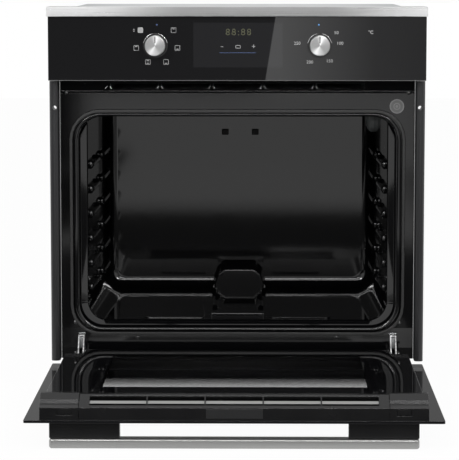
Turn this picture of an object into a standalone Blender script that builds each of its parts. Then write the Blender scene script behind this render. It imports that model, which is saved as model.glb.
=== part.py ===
"""A 60 cm built-in single electric oven, with its drop-down door open at 90 degrees.

Metres, +Z up. The origin is the centre of the face that the chassis stands on; the front faces -Y.
"""

import math

import bmesh
import bpy
from mathutils import Matrix, Vector

for leftover in list(bpy.data.objects):
    bpy.data.objects.remove(leftover, do_unlink=True)

# ---------------------------------------------------------------------------------------------
# Driving dimensions
# ---------------------------------------------------------------------------------------------

GAP = 0.0003  # between pieces that touch
SHEET = 0.0012  # steel sheet of the chassis and door

WIDTH = 0.595  # across the door and the control glass
CHASSIS_HALF = 0.278
CHASSIS_HEIGHT = 0.572
CHASSIS_REAR = 0.2725
FRAME_FRONT = -0.2725  # the front frame's face, which the door closes against
GLASS_FRONT = -0.3195  # the face of the control glass, and of the closed door

# Front frame
FRAME_HALF = 0.2827
FRAME_SHEET = 0.0015
FRAME_LOW, FRAME_HIGH = 0.012, 0.460
FRAME_BACK = FRAME_FRONT + FRAME_SHEET
CHASSIS_FRONT = FRAME_BACK + GAP
OPENING_HALF, OPENING_LOW, OPENING_HIGH, OPENING_ROUND = 0.268, 0.0507, 0.4138, 0.048
OUTLET_LOW, OUTLET_HIGH = 0.446, 0.455
OUTLET_SLOTS, OUTLET_PITCH, OUTLET_SLOT = 5, 0.082, 0.077
TRIM_INNER, TRIM_OUTER, TRIM_FRONT = 0.283, 0.297, -0.3045
TRIM_ROUND = 0.006
FIXING_X, FIXING_Z, FIXING_RADIUS = 0.289, 0.418, 0.0035

# Cavity
MOUTH_HALF, MOUTH_LOW, MOUTH_HIGH, MOUTH_ROUND = 0.2525, 0.0638, 0.4026, 0.038
LIP_FRONT = -0.2795
GASKET_FRONT = -0.282
GASKET_WIDTH = 0.0052
CAVITY_HALF, CAVITY_BACK_HALF = 0.240, 0.233
CAVITY_FLOOR, CAVITY_CEILING = 0.073, 0.422
CAVITY_FRONT, CAVITY_BACK = -0.255, 0.1355
CAVITY_WALL = 0.001
SHELF_LOWEST, SHELF_PITCH, SHELF_LEVELS = 0.122, 0.040, 6
SHELF_DEPTH, SHELF_THICK = 0.009, 0.007
SHELF_RUNS = ((-0.232, -0.118), (-0.030, 0.084))
HUMP_HALF, HUMP_TOP_HALF, HUMP_TOP = 0.056, 0.038, 0.120
HUMP_DEPTH = 0.022
RIDGE_HALF, RIDGE_HEIGHT, RIDGE_FRONT = 0.046, 0.010, -0.060
LAMP_Y, LAMP_Z, LAMP_RADIUS = 0.080, 0.372, 0.0195
LAMP_HOLE = LAMP_RADIUS + 0.0005
LAMP_INSIDE, LAMP_BEHIND, LAMP_DOME, LAMP_WALL = 0.012, 0.008, 0.010, 0.002
HOLDER_RADIUS, HOLDER_DEPTH, PLUG_RADIUS, PLUG_LENGTH = 0.025, 0.026, 0.016, 0.004
INSULATION_HALF, INSULATION_WALL = 0.2745, 0.018
INSULATION_LOW, INSULATION_HIGH = 0.038, 0.442
INSULATION_FRONT, INSULATION_BACK = -0.195, 0.157
ELEMENT_RADIUS = 0.00325
ELEMENT_LEG_X = 0.030
GRILL_Z = 0.405

# Cooling
DECK_Z = INSULATION_HIGH + GAP
DUCT_HALF = 0.205
DUCT_WALL = 0.0015
DUCT_LOW = DECK_Z + SHEET + GAP
DUCT_BACK = 0.060
BLOWER_HALF, BLOWER_BACK, BLOWER_HIGH = 0.112, 0.150, 0.520
ROTOR_RADIUS, ROTOR_HALF, ROTOR_BLADES = 0.028, 0.100, 10
AXLE_RADIUS, AXLE_Y, AXLE_Z = 0.003, 0.105, 0.483
AXLE_CLEARANCE, AXLE_STUB, AXLE_DRIVEN = 0.0004, 0.001, 0.012
MOTOR_RADIUS, MOTOR_LENGTH, MOTOR_BORE = 0.030, 0.040, 0.014

# Controls
CONTROL_LOW, CONTROL_HIGH = 0.4615, 0.562
GLASS_SHEET = 0.004
KNOB_LEFT, KNOB_RIGHT, KNOB_Z = -0.128, 0.1295, 0.5168
KNOB_RADIUS, KNOB_PROUD, KNOB_LENGTH = 0.016, 0.020, 0.0275
KNOB_TRAVEL = 0.014
SHAFT_RADIUS, SHAFT_CLEARANCE = 0.003, 0.0003
SHAFT_FRONT = GLASS_FRONT + 0.0015
COLLAR_RADIUS, COLLAR_PROUD, COLLAR_WALL = 0.0195, 0.003, 0.0011
HOUSING_HALF, HOUSING_LOW, HOUSING_HIGH, HOUSING_WALL = 0.290, 0.463, 0.5605, 0.002
CLOCK_LEFT, CLOCK_RIGHT, CLOCK_LOW, CLOCK_HIGH, CLOCK_DEPTH = -0.0686, 0.0714, 0.486, 0.549, 0.030
SWITCH_HALF, SWITCH_FRONT, SWITCH_DEPTH = 0.022, -0.295, 0.033
STRIP_HALF, STRIP_RISE, STRIP_PROUD, STRIP_BACK = 0.2985, 0.005, 0.006, -0.262

# Mains inlet
COVER_LEFT, COVER_RIGHT, COVER_LOW, COVER_HIGH, COVER_DEPTH = 0.140, 0.230, 0.060, 0.120, 0.014
GLAND_RADIUS, GLAND_BORE, GLAND_LENGTH = 0.0065, 0.0045, 0.020

# Door, as it lies open; "front" is the end away from the hinges
DOOR_LOW = 0.001
DOOR_HINGE_END, DOOR_FRONT_END = -0.2825, -0.7565
MIDDLE_LOW, MIDDLE_SHEET, MIDDLE_HALF = 0.018, 0.003, 0.234
INNER_LOW, INNER_HALF = 0.034, 0.268
INNER_HINGE_END, INNER_FRONT_END = -0.3415, -0.7242
NOTCH_HALF, NOTCH_END = 0.240, -0.3815
RAIL_INNER, RAIL_OUTER = 0.236, 0.264
RAIL_HINGE_END, RAIL_FRONT_END = -0.358, -0.716
BOTTOM_RAIL_Y, BOTTOM_RAIL_FLANGE = -0.338, 0.014
VENT_HALF, VENT_FACE_HIGH, VENT_TOP, VENT_WALL = 0.219, 0.0234, 0.039, 0.0025
VENT_RIDGE, VENT_BACK = -0.7345, -0.7245
CLIP_OUTER = 0.2745
BUTTON_X, BUTTON_HALF, BUTTON_LOW, BUTTON_HIGH = 0.2395, 0.010, 0.0130, 0.0215
BUTTON_DEPTH, BUTTON_SUNK, BUTTON_TRAVEL = 0.006, 0.001, 0.002
HANDLE_HALF, POST_LENGTH = 0.2617, 0.100
POST_LOW, HANDLE_LOW = -0.0223, -0.0369
HANDLE_BACK, HANDLE_FRONT = -0.7275, -0.7495

# Hinges
HINGE_X, HINGE_Y, HINGE_Z = 0.250, -0.3105, 0.010
PIN_RADIUS, EYE_RADIUS = 0.0025, 0.0045
ARM_HALF, ARM_SHEET = 0.005, 0.002
ARM_LOW, ARM_HIGH, ARM_BACK = 0.030, 0.052, -0.207
CASE_HALF, CASE_SHEET = 0.0073, 0.002
CASE_LOW, CASE_HIGH, CASE_END = 0.0068, 0.0322, -0.450
SLOT_HALF, SLOT_LOW, SLOT_HIGH = 0.0056, 0.027, 0.0555
RECEPTACLE_BACK = -0.198
LOCK_Y, LOCK_Z, LOCK_HALF, LOCK_HIGH = -0.2835, 0.044, 0.0027, 0.0485

# Looks: colour, roughness, metallic
ENAMEL = ((0.006, 0.006, 0.007), 0.22, 0.0)
BLACK_PAINT = ((0.010, 0.010, 0.011), 0.40, 0.0)
BLACK_GLASS = ((0.004, 0.004, 0.005), 0.05, 0.0)
BLACK_PLASTIC = ((0.012, 0.012, 0.012), 0.45, 0.0)
CLEAR_GLASS = ((0.10, 0.11, 0.11), 0.05, 0.0)
BRUSHED = ((0.50, 0.50, 0.49), 0.32, 1.0)
ZINC = ((0.55, 0.56, 0.57), 0.38, 1.0)
SEAL = ((0.008, 0.008, 0.008), 0.80, 0.0)
WOOL = ((0.55, 0.52, 0.42), 0.95, 0.0)
ELEMENT = ((0.05, 0.05, 0.055), 0.50, 1.0)
CERAMIC = ((0.70, 0.69, 0.65), 0.55, 0.0)

# ---------------------------------------------------------------------------------------------
# Tools
# ---------------------------------------------------------------------------------------------

PARTS = bpy.data.collections.new("built_in_oven")
CUTTERS = bpy.data.collections.new("cutters")
bpy.context.scene.collection.children.link(PARTS)
bpy.context.scene.collection.children.link(CUTTERS)

# Each plane turns an outline's own x, y and thickness into the object's axes.
TOP = Matrix.Identity(4)
FRONT = Matrix(((1, 0, 0, 0), (0, 0, -1, 0), (0, 1, 0, 0), (0, 0, 0, 1)))
SIDE = Matrix(((0, 0, 1, 0), (1, 0, 0, 0), (0, 1, 0, 0), (0, 0, 0, 1)))
SIDES = (("left", -1), ("right", 1))


def place(name, mesh, look, matrix):
    """Adds a mesh as a sub-part in its own material, or as a cutter where it has no look."""
    obj = bpy.data.objects.new(name, mesh)
    obj.matrix_world = matrix
    if look is None:
        CUTTERS.objects.link(obj)
        obj.hide_render = True
        obj.display_type = "WIRE"
        return obj
    PARTS.objects.link(obj)
    material = bpy.data.materials.new(name)
    material.use_nodes = True
    shader = material.node_tree.nodes["Principled BSDF"]
    shader.inputs["Base Color"].default_value = (*look[0], 1.0)
    shader.inputs["Roughness"].default_value = look[1]
    shader.inputs["Metallic"].default_value = look[2]
    mesh.materials.append(material)
    return obj


def span(side, near, far):
    """The x range between two distances from the centre plane, on one side of it."""
    return (min(side * near, side * far), max(side * near, side * far))


def box(name, x, y, z, look=None, bevel=0.0):
    """A block between these pairs of x, y and z, its edges rounded by bevel."""
    centre = Vector((sum(x), sum(y), sum(z))) / 2
    size = (x[1] - x[0], y[1] - y[0], z[1] - z[0])
    bm = bmesh.new()
    bmesh.ops.create_cube(bm, size=1.0, matrix=Matrix.Diagonal((*size, 1.0)))
    mesh = bpy.data.meshes.new(name)
    bm.to_mesh(mesh)
    bm.free()
    obj = place(name, mesh, look, Matrix.Translation(centre))
    if bevel:
        rounding = obj.modifiers.new("edges", "BEVEL")
        rounding.width = bevel
        rounding.segments = 2
    return obj


def tray(name, x, y, z, open_side, wall, look):
    """A thin-walled box without the face whose outward direction is open_side."""
    centre = Vector((sum(x), sum(y), sum(z))) / 2
    size = (x[1] - x[0], y[1] - y[0], z[1] - z[0])
    bm = bmesh.new()
    bmesh.ops.create_cube(bm, size=1.0, matrix=Matrix.Diagonal((*size, 1.0)))
    missing = [face for face in bm.faces if face.normal.dot(Vector(open_side)) > 0.9]
    bmesh.ops.delete(bm, geom=missing, context="FACES_ONLY")
    mesh = bpy.data.meshes.new(name)
    bm.to_mesh(mesh)
    bm.free()
    obj = place(name, mesh, look, Matrix.Translation(centre))
    thicken(obj, wall)
    return obj


def thicken(obj, wall, offset=-1.0):
    """Gives an open surface its thickness: inward with offset -1, outward with +1."""
    shell = obj.modifiers.new("thickness", "SOLIDIFY")
    shell.thickness = wall
    shell.offset = offset
    shell.use_even_offset = True


def folded(name, line, plane, level, wall, look):
    """A sheet folded along a line of points, drawn between two levels; it lies to the left of the line."""
    bm = bmesh.new()
    points = [bm.verts.new((u, v, level[0])) for u, v in line]
    edges = [bm.edges.new(pair) for pair in zip(points, points[1:])]
    swept = bmesh.ops.extrude_edge_only(bm, edges=edges)["geom"]
    moved = [item for item in swept if isinstance(item, bmesh.types.BMVert)]
    bmesh.ops.translate(bm, vec=(0, 0, level[1] - level[0]), verts=moved)
    mesh = bpy.data.meshes.new(name)
    bm.to_mesh(mesh)
    bm.free()
    obj = place(name, mesh, look, plane)
    thicken(obj, wall, 1.0)
    return obj


def plate(name, loops, plane, level, look=None):
    """A flat outline, with any holes as further loops, made solid between two levels of its plane."""
    curve = bpy.data.curves.new(name, "CURVE")
    curve.dimensions = "2D"
    curve.fill_mode = "BOTH"
    curve.extrude = (level[1] - level[0]) / 2
    for loop in loops:
        spline = curve.splines.new("POLY")
        spline.points.add(len(loop) - 1)
        spline.use_cyclic_u = True
        for point, (u, v) in zip(spline.points, loop):
            point.co = (u, v, 0, 1)
    middle = Matrix.Translation((0, 0, (level[0] + level[1]) / 2))
    return mesh_from(name, curve, plane @ middle, look)


def tube(name, points, radius, look):
    """A round bar along these points."""
    curve = bpy.data.curves.new(name, "CURVE")
    curve.dimensions = "3D"
    curve.bevel_depth = radius
    curve.bevel_resolution = 1
    curve.use_fill_caps = True
    spline = curve.splines.new("POLY")
    spline.points.add(len(points) - 1)
    for point, place_at in zip(spline.points, points):
        point.co = (*place_at, 1)
    obj = mesh_from(name, curve, Matrix.Identity(4), look)
    obj.data.shade_smooth()
    obj.data.set_sharp_from_angle(angle=math.radians(50))
    return obj


def mesh_from(name, curve, matrix, look):
    """The curve's solid as a mesh object with its caps welded; the curve goes."""
    guide = bpy.data.objects.new(name, curve)
    bpy.context.scene.collection.objects.link(guide)
    graph = bpy.context.evaluated_depsgraph_get()
    mesh = bpy.data.meshes.new_from_object(guide.evaluated_get(graph))
    bpy.data.objects.remove(guide, do_unlink=True)
    bm = bmesh.new()
    bm.from_mesh(mesh)
    bmesh.ops.remove_doubles(bm, verts=bm.verts, dist=0.00001)
    bmesh.ops.recalc_face_normals(bm, faces=bm.faces)
    bm.to_mesh(mesh)
    bm.free()
    mesh.name = name
    mesh.materials.clear()
    return place(name, mesh, look, matrix)


def turned(name, profile, matrix, look=None, steps=24):
    """A profile of (radius, height) points turned round the local Z axis."""
    closed = profile[0][0] > 0
    bm = bmesh.new()
    points = [bm.verts.new((radius, 0, height)) for radius, height in profile]
    pairs = list(zip(points, points[1:]))
    if closed:
        pairs.append((points[-1], points[0]))
    for pair in pairs:
        bm.edges.new(pair)
    mesh = bpy.data.meshes.new(name)
    bm.to_mesh(mesh)
    bm.free()
    obj = place(name, mesh, look, matrix)
    screw = obj.modifiers.new("turn", "SCREW")
    screw.steps = steps
    screw.render_steps = steps
    screw.use_merge_vertices = True
    screw.merge_threshold = 0.00001
    screw.use_smooth_shade = True
    return obj


def rod(name, radius, length, matrix, look=None, steps=24):
    """A plain cylinder centred on its matrix, along the local Z axis."""
    bm = bmesh.new()
    bmesh.ops.create_cone(
        bm, cap_ends=True, segments=steps, radius1=radius, radius2=radius, depth=length
    )
    mesh = bpy.data.meshes.new(name)
    bm.to_mesh(mesh)
    bm.free()
    mesh.shade_smooth()
    mesh.set_sharp_from_angle(angle=math.radians(50))
    return place(name, mesh, look, matrix)


def along(axis, x, y, z):
    """A matrix at this place whose local Z axis points along "x" or toward the front."""
    turn = Matrix.Rotation(math.radians(90), 4, "Y" if axis == "x" else "X")
    return Matrix.Translation((x, y, z)) @ turn


def cut(obj, *cutters, operation="DIFFERENCE"):
    for cutter in cutters:
        boolean = obj.modifiers.new(cutter.name, "BOOLEAN")
        boolean.operation = operation
        boolean.object = cutter


def join(obj, *others):
    """Unites others with obj; they must be cutters."""
    cut(obj, *others, operation="UNION")


def pivot(name, x, y, z):
    """An empty on a joint's axis."""
    empty = bpy.data.objects.new(name, None)
    empty.location = (x, y, z)
    PARTS.objects.link(empty)
    return empty


def carry(empty, *pieces):
    """Parents the pieces to the empty without moving them."""
    bpy.context.view_layer.update()
    for piece in pieces:
        piece.parent = empty
        piece.matrix_parent_inverse = empty.matrix_world.inverted()


def rounded(x_low, x_high, y_low, y_high, radius, steps=4):
    """A rectangle with round corners, counter-clockwise."""
    corners = (
        (x_high - radius, y_low + radius, -90),
        (x_high - radius, y_high - radius, 0),
        (x_low + radius, y_high - radius, 90),
        (x_low + radius, y_low + radius, 180),
    )
    loop = []
    for x, y, start in corners:
        for step in range(steps + 1):
            angle = math.radians(start + 90 * step / steps)
            loop.append((x + radius * math.cos(angle), y + radius * math.sin(angle)))
    return loop


def rectangle(x_low, x_high, y_low, y_high):
    return [(x_low, y_low), (x_high, y_low), (x_high, y_high), (x_low, y_high)]


def circle(x, y, radius, steps=16):
    turns = [math.tau * step / steps for step in range(steps)]
    return [(x + radius * math.cos(turn), y + radius * math.sin(turn)) for turn in turns]


# ---------------------------------------------------------------------------------------------
# Chassis
# ---------------------------------------------------------------------------------------------

TRAY_HEIGHT = 0.020
WALL_OUTER = CHASSIS_HALF - SHEET - GAP
WALL_INNER = WALL_OUTER - SHEET
FLANGE = 0.014


def chassis():
    """Base and lid are trays; the side and rear panels stand between their rims."""
    depth = (CHASSIS_FRONT, CHASSIS_REAR)
    tray(
        "chassis_base", (-CHASSIS_HALF, CHASSIS_HALF), depth, (0, TRAY_HEIGHT), (0, 0, 1), SHEET, BLACK_PAINT
    )
    tray(
        "chassis_top",
        (-CHASSIS_HALF, CHASSIS_HALF),
        depth,
        (CHASSIS_HEIGHT - TRAY_HEIGHT, CHASSIS_HEIGHT),
        (0, 0, -1),
        SHEET,
        ZINC,
    )
    level = (SHEET + GAP, CHASSIS_HEIGHT - SHEET - GAP)
    front = CHASSIS_FRONT + SHEET + GAP
    back_outer = CHASSIS_REAR - SHEET - GAP
    rear = back_outer - SHEET - GAP
    for word, side in SIDES:
        line = [
            (side * (WALL_OUTER - FLANGE), front),
            (side * WALL_OUTER, front),
            (side * WALL_OUTER, rear),
            (side * (WALL_OUTER - FLANGE), rear),
        ]
        line = line if side > 0 else line[::-1]
        folded(f"chassis_{word}", line, TOP, level, SHEET, ZINC)
    back_half = WALL_OUTER
    louvres = [
        rounded(x - 0.020, x + 0.020, 0.480, 0.486, 0.0029, 2) for x in (-0.180, -0.120, -0.060, 0.0)
    ]
    plate(
        "chassis_back",
        [rectangle(-back_half, back_half, *level), *louvres],
        FRONT,
        (-back_outer, -back_outer + SHEET),
        ZINC,
    )
    deck_half = WALL_INNER - GAP
    plate(
        "service_deck",
        [rectangle(-deck_half, deck_half, INSULATION_FRONT, rear - SHEET - GAP)],
        TOP,
        (DECK_Z, DECK_Z + SHEET),
        ZINC,
    )


def front_frame():
    """The enamelled front plate, with the cavity's opening, hinge slots and air outlet."""
    opening = rounded(-OPENING_HALF, OPENING_HALF, OPENING_LOW, OPENING_HIGH, OPENING_ROUND, 6)
    loops = [rectangle(-FRAME_HALF, FRAME_HALF, FRAME_LOW, FRAME_HIGH), opening]
    for _, side in SIDES:
        slot = span(side, HINGE_X - SLOT_HALF, HINGE_X + SLOT_HALF)
        loops.append(rectangle(*slot, SLOT_LOW, SLOT_HIGH))
    for index in range(OUTLET_SLOTS):
        x = (index - (OUTLET_SLOTS - 1) / 2) * OUTLET_PITCH
        loops.append(rectangle(x - OUTLET_SLOT / 2, x + OUTLET_SLOT / 2, OUTLET_LOW, OUTLET_HIGH))
    plate("front_frame", loops, FRONT, (-FRAME_BACK, -FRAME_FRONT), ENAMEL)


def side_trims():
    """Upright trims beside the frame; their rear faces bear on the cabinet, with a fixing hole each."""
    for word, side in SIDES:
        outline = rounded(
            *span(side, TRIM_INNER, TRIM_OUTER), TRIM_FRONT, FRAME_BACK + TRIM_ROUND, TRIM_ROUND, 3
        )
        trim = plate(f"side_trim_{word}", [outline], TOP, (FRAME_LOW + 0.001, FRAME_HIGH), BLACK_PAINT)
        square = box(
            f"cut_trim_{word}",
            span(side, 0.27, 0.31),
            (FRAME_BACK, FRAME_BACK + 0.02),
            (-0.01, FRAME_HIGH + 0.01),
        )
        spot = along("y", side * FIXING_X, TRIM_FRONT, FIXING_Z)
        hole = rod(f"hole_trim_{word}", FIXING_RADIUS, 0.1, spot, steps=12)
        cut(trim, square, hole)


# ---------------------------------------------------------------------------------------------
# Cavity
# ---------------------------------------------------------------------------------------------

FLANGE_SPREAD = 0.0175  # how far the cavity's flange reaches outside its mouth


def cavity():
    """The enamelled muffle: a rolled lip at the mouth, pressed runners, and a hump behind on the floor."""
    flange_front = FRAME_BACK + GAP
    lip_width = MOUTH_HALF + 0.009
    rings = (
        (MOUTH_HALF + FLANGE_SPREAD, MOUTH_LOW - 0.0153, MOUTH_HIGH + 0.0134, 0.049, flange_front),
        (lip_width, MOUTH_LOW - 0.0068, MOUTH_HIGH + 0.0058, 0.0445, flange_front),
        (lip_width - 0.0006, MOUTH_LOW - 0.0064, MOUTH_HIGH + 0.0054, 0.044, LIP_FRONT + 0.0025),
        (MOUTH_HALF + 0.0045, MOUTH_LOW - 0.0035, MOUTH_HIGH + 0.0030, 0.041, LIP_FRONT),
        (MOUTH_HALF, MOUTH_LOW, MOUTH_HIGH, MOUTH_ROUND, LIP_FRONT + 0.0030),
        (MOUTH_HALF, MOUTH_LOW, MOUTH_HIGH, MOUTH_ROUND, flange_front + 0.004),
        (CAVITY_HALF, CAVITY_FLOOR, CAVITY_CEILING, 0.030, CAVITY_FRONT),
        (CAVITY_BACK_HALF, CAVITY_FLOOR, CAVITY_CEILING, 0.026, CAVITY_BACK - 0.018),
        (CAVITY_BACK_HALF - 0.005, CAVITY_FLOOR + 0.005, CAVITY_CEILING - 0.005, 0.022, CAVITY_BACK - 0.005),
        (CAVITY_BACK_HALF - 0.018, CAVITY_FLOOR + 0.018, CAVITY_CEILING - 0.018, 0.012, CAVITY_BACK),
    )
    bm = bmesh.new()
    loops = []
    for half, low, high, radius, y in rings:
        points = [bm.verts.new((x, y, z)) for x, z in rounded(-half, half, low, high, radius, 5)]
        loops.append([bm.edges.new(pair) for pair in zip(points, points[1:] + points[:1])])
    for near, far in zip(loops, loops[1:]):
        bmesh.ops.bridge_loops(bm, edges=near + far)
    back = {vert for edge in loops[-1] for vert in edge.verts}
    bmesh.ops.contextual_create(bm, geom=list(back) + loops[-1])
    bmesh.ops.recalc_face_normals(bm, faces=bm.faces)
    mesh = bpy.data.meshes.new("cavity")
    bm.to_mesh(mesh)
    bm.free()
    muffle = place("cavity", mesh, ENAMEL, Matrix.Identity(4))
    thicken(muffle, CAVITY_WALL, cavity_side(mesh))
    join(muffle, shelf_runners(), hump("hump", HUMP_TOP), hump_ridge())
    bulb_hole = rod("lamp_hole", LAMP_HOLE, 0.04, along("x", CAVITY_BACK_HALF, LAMP_Y, LAMP_Z))
    leg_hole = ELEMENT_RADIUS + 0.0005
    legs = [
        rod(f"leg_hole_{word}", leg_hole, 0.02, along("y", side * ELEMENT_LEG_X, CAVITY_BACK, GRILL_Z), steps=12)
        for word, side in SIDES
    ]
    cut(muffle, bulb_hole, *legs)


def cavity_side(mesh):
    """The Solidify offset that thickens the muffle away from its inside."""
    back = max(mesh.polygons, key=lambda face: face.center.y)
    return 1.0 if back.normal.y > 0 else -1.0


def shelf_runners():
    """All the shelf runners as one mesh of separate blocks, sunk half a wall into the side walls."""
    slope = math.atan2(CAVITY_HALF - CAVITY_BACK_HALF, CAVITY_BACK - 0.018 - CAVITY_FRONT)
    bm = bmesh.new()
    for level in range(SHELF_LEVELS):
        z = SHELF_LOWEST + SHELF_PITCH * level
        for start, end in SHELF_RUNS:
            y = (start + end) / 2
            wall = CAVITY_HALF - math.tan(slope) * (y - CAVITY_FRONT)
            for _, side in SIDES:
                size = Matrix.Diagonal((SHELF_DEPTH, end - start, SHELF_THICK, 1.0))
                x = side * (wall + CAVITY_WALL / 2 - SHELF_DEPTH / 2)
                spot = Matrix.Translation((x, y, z)) @ Matrix.Rotation(side * slope, 4, "Z")
                bmesh.ops.create_cube(bm, size=1.0, matrix=spot @ size)
    mesh = bpy.data.meshes.new("shelf_runners")
    bm.to_mesh(mesh)
    bm.free()
    return place("shelf_runners", mesh, None, Matrix.Identity(4))


def hump(name, top):
    """The pressing against the back wall: wide on the floor, narrower and rounded at its top."""
    low = CAVITY_FLOOR - CAVITY_WALL / 2
    outline = [
        (-HUMP_HALF, low),
        (HUMP_HALF, low),
        (HUMP_TOP_HALF, top - 0.008),
        (HUMP_TOP_HALF - 0.008, top),
        (-HUMP_TOP_HALF + 0.008, top),
        (-HUMP_TOP_HALF, top - 0.008),
    ]
    rear = CAVITY_BACK + CAVITY_WALL / 2
    return plate(name, [outline], FRONT, (-rear, -rear + HUMP_DEPTH))


def hump_ridge():
    """The low ridge that runs forward from the hump along the floor."""
    low = CAVITY_FLOOR - CAVITY_WALL / 2
    return box(
        "ridge",
        (-RIDGE_HALF, RIDGE_HALF),
        (RIDGE_FRONT, CAVITY_BACK - HUMP_DEPTH + 0.002),
        (low, CAVITY_FLOOR + RIDGE_HEIGHT),
    )


def gasket():
    """The seal that stands round the lip, in the frame's opening."""
    edge = 0.0004
    outer = rounded(
        -OPENING_HALF + edge, OPENING_HALF - edge, OPENING_LOW + edge, OPENING_HIGH - edge, OPENING_ROUND, 6
    )
    inner = rounded(
        -OPENING_HALF + GASKET_WIDTH,
        OPENING_HALF - GASKET_WIDTH,
        OPENING_LOW + GASKET_WIDTH,
        OPENING_HIGH - GASKET_WIDTH,
        OPENING_ROUND - GASKET_WIDTH,
        6,
    )
    plate("cavity_gasket", [outer, inner], FRONT, (-FRAME_BACK, -GASKET_FRONT), SEAL)


def insulation():
    """A wool blanket round the rear of the cavity, with ways through for the lamp and the elements."""
    blanket = tray(
        "insulation",
        (-INSULATION_HALF, INSULATION_HALF),
        (INSULATION_FRONT, INSULATION_BACK),
        (INSULATION_LOW, INSULATION_HIGH),
        (0, -1, 0),
        INSULATION_WALL,
        WOOL,
    )
    lamp = rod("blanket_lamp_hole", 0.026, 0.06, along("x", INSULATION_HALF, LAMP_Y, LAMP_Z), steps=16)
    back = (INSULATION_BACK - INSULATION_WALL - 0.01, INSULATION_BACK + 0.01)
    legs = (-0.045, 0.045)
    grill = box("blanket_grill_slot", legs, back, (GRILL_Z - 0.008, GRILL_Z + 0.008))
    low = INSULATION_LOW + INSULATION_WALL
    bottom = box("blanket_bottom_slot", legs, back, (low + 0.0001, low + 0.012))
    cut(blanket, lamp, grill, bottom)


def elements():
    """The bottom element lies under the floor on the blanket; the grill element hangs under the ceiling."""
    bottom_z = INSULATION_LOW + INSULATION_WALL + GAP + ELEMENT_RADIUS
    tube("bottom_element", zigzag(bottom_z, -0.150, 0.085, 0.200), ELEMENT_RADIUS, ELEMENT)
    tube("grill_element", zigzag(GRILL_Z, -0.190, 0.085, 0.190), ELEMENT_RADIUS, ELEMENT)


def zigzag(z, front, back, half):
    """The route of a heating rod: legs out at the rear, an outer hoop and an inner one."""
    inner = half * 0.45
    right = [
        (ELEMENT_LEG_X, INSULATION_BACK + 0.020, z),
        (ELEMENT_LEG_X, back, z),
        (half, back, z),
        (half, front, z),
        (inner, front, z),
        (inner, back - 0.060, z),
    ]
    return right + [(-x, y, z) for x, y, z in reversed(right)]


def lamp():
    """The glass dome stands through the right wall; its holder is a cup behind it, in the blanket."""
    outer = CAVITY_BACK_HALF + LAMP_BEHIND
    shoulder = LAMP_INSIDE + LAMP_BEHIND - LAMP_DOME
    bore = LAMP_RADIUS - LAMP_WALL
    dome, hollow = [], []
    for step in range(5):
        angle = math.radians(90 * step / 4)
        dome.append((LAMP_RADIUS * math.sin(angle), shoulder + LAMP_DOME * math.cos(angle)))
        hollow.append((bore * math.sin(angle), shoulder + (LAMP_DOME - LAMP_WALL) * math.cos(angle)))
    profile = [*dome, (LAMP_RADIUS, 0), (bore, 0), *hollow[::-1]]
    facing_in = Matrix.Translation((outer, LAMP_Y, LAMP_Z)) @ Matrix.Rotation(math.radians(-90), 4, "Y")
    turned("lamp_glass", profile, facing_in, CLEAR_GLASS, 20)
    cup = [
        (0, -PLUG_LENGTH),
        (PLUG_RADIUS, -PLUG_LENGTH),
        (PLUG_RADIUS, 0),
        (HOLDER_RADIUS, 0),
        (HOLDER_RADIUS, -HOLDER_DEPTH),
        (0, -HOLDER_DEPTH),
    ]
    behind = Matrix.Translation((outer + GAP, LAMP_Y, LAMP_Z)) @ Matrix.Rotation(math.radians(-90), 4, "Y")
    turned("lamp_holder", cup, behind, CERAMIC, 20)


# ---------------------------------------------------------------------------------------------
# Cooling
# ---------------------------------------------------------------------------------------------


def cooling():
    """A cross-flow fan on the service deck blows along a flat duct to the outlet over the door."""
    duct_high = OUTLET_HIGH + 0.002
    outer = rectangle(-DUCT_HALF, DUCT_HALF, DUCT_LOW, duct_high)
    inner = rectangle(
        -DUCT_HALF + DUCT_WALL, DUCT_HALF - DUCT_WALL, DUCT_LOW + DUCT_WALL, duct_high - DUCT_WALL
    )
    plate("air_duct", [outer, inner], FRONT, (-DUCT_BACK, -CHASSIS_FRONT), ZINC)
    housing = tray(
        "blower_housing",
        (-BLOWER_HALF, BLOWER_HALF),
        (DUCT_BACK + GAP, BLOWER_BACK),
        (DUCT_LOW, BLOWER_HIGH),
        (0, -1, 0),
        DUCT_WALL,
        ZINC,
    )
    hole = AXLE_RADIUS + AXLE_CLEARANCE
    axle_hole = rod("axle_hole", hole, 0.4, along("x", 0, AXLE_Y, AXLE_Z), steps=16)
    cut(housing, axle_hole)
    rotor()
    motor_x = BLOWER_HALF + GAP
    profile = [
        (0, -MOTOR_BORE),
        (hole, -MOTOR_BORE),
        (hole, 0),
        (MOTOR_RADIUS, 0),
        (MOTOR_RADIUS, -MOTOR_LENGTH),
        (0, -MOTOR_LENGTH),
    ]
    facing_in = Matrix.Translation((motor_x, AXLE_Y, AXLE_Z)) @ Matrix.Rotation(math.radians(-90), 4, "Y")
    turned("blower_motor", profile, facing_in, ZINC)


def rotor():
    """The fan's drum of straight blades on its axle."""
    tooth = []
    for blade in range(ROTOR_BLADES):
        for share, radius in ((0.0, 0.6), (0.0, 1.0), (0.3, 1.0), (0.3, 0.6)):
            angle = math.tau * (blade + share) / ROTOR_BLADES
            reach = radius * ROTOR_RADIUS
            tooth.append((AXLE_Y + reach * math.cos(angle), AXLE_Z + reach * math.sin(angle)))
    drum = plate("blower_drum", [tooth], SIDE, (-ROTOR_HALF, ROTOR_HALF), ZINC)
    low, high = -BLOWER_HALF - AXLE_STUB, BLOWER_HALF + AXLE_DRIVEN
    axle = rod("axle", AXLE_RADIUS, high - low, along("x", (low + high) / 2, AXLE_Y, AXLE_Z), steps=12)
    join(drum, axle)
    # The exact solver leaves this union open where the axle leaves the drum's flat ends.
    drum.modifiers[-1].solver = "MANIFOLD"
    carry(pivot("blower_axis", 0, AXLE_Y, AXLE_Z), drum)


# ---------------------------------------------------------------------------------------------
# Controls
# ---------------------------------------------------------------------------------------------

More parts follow.
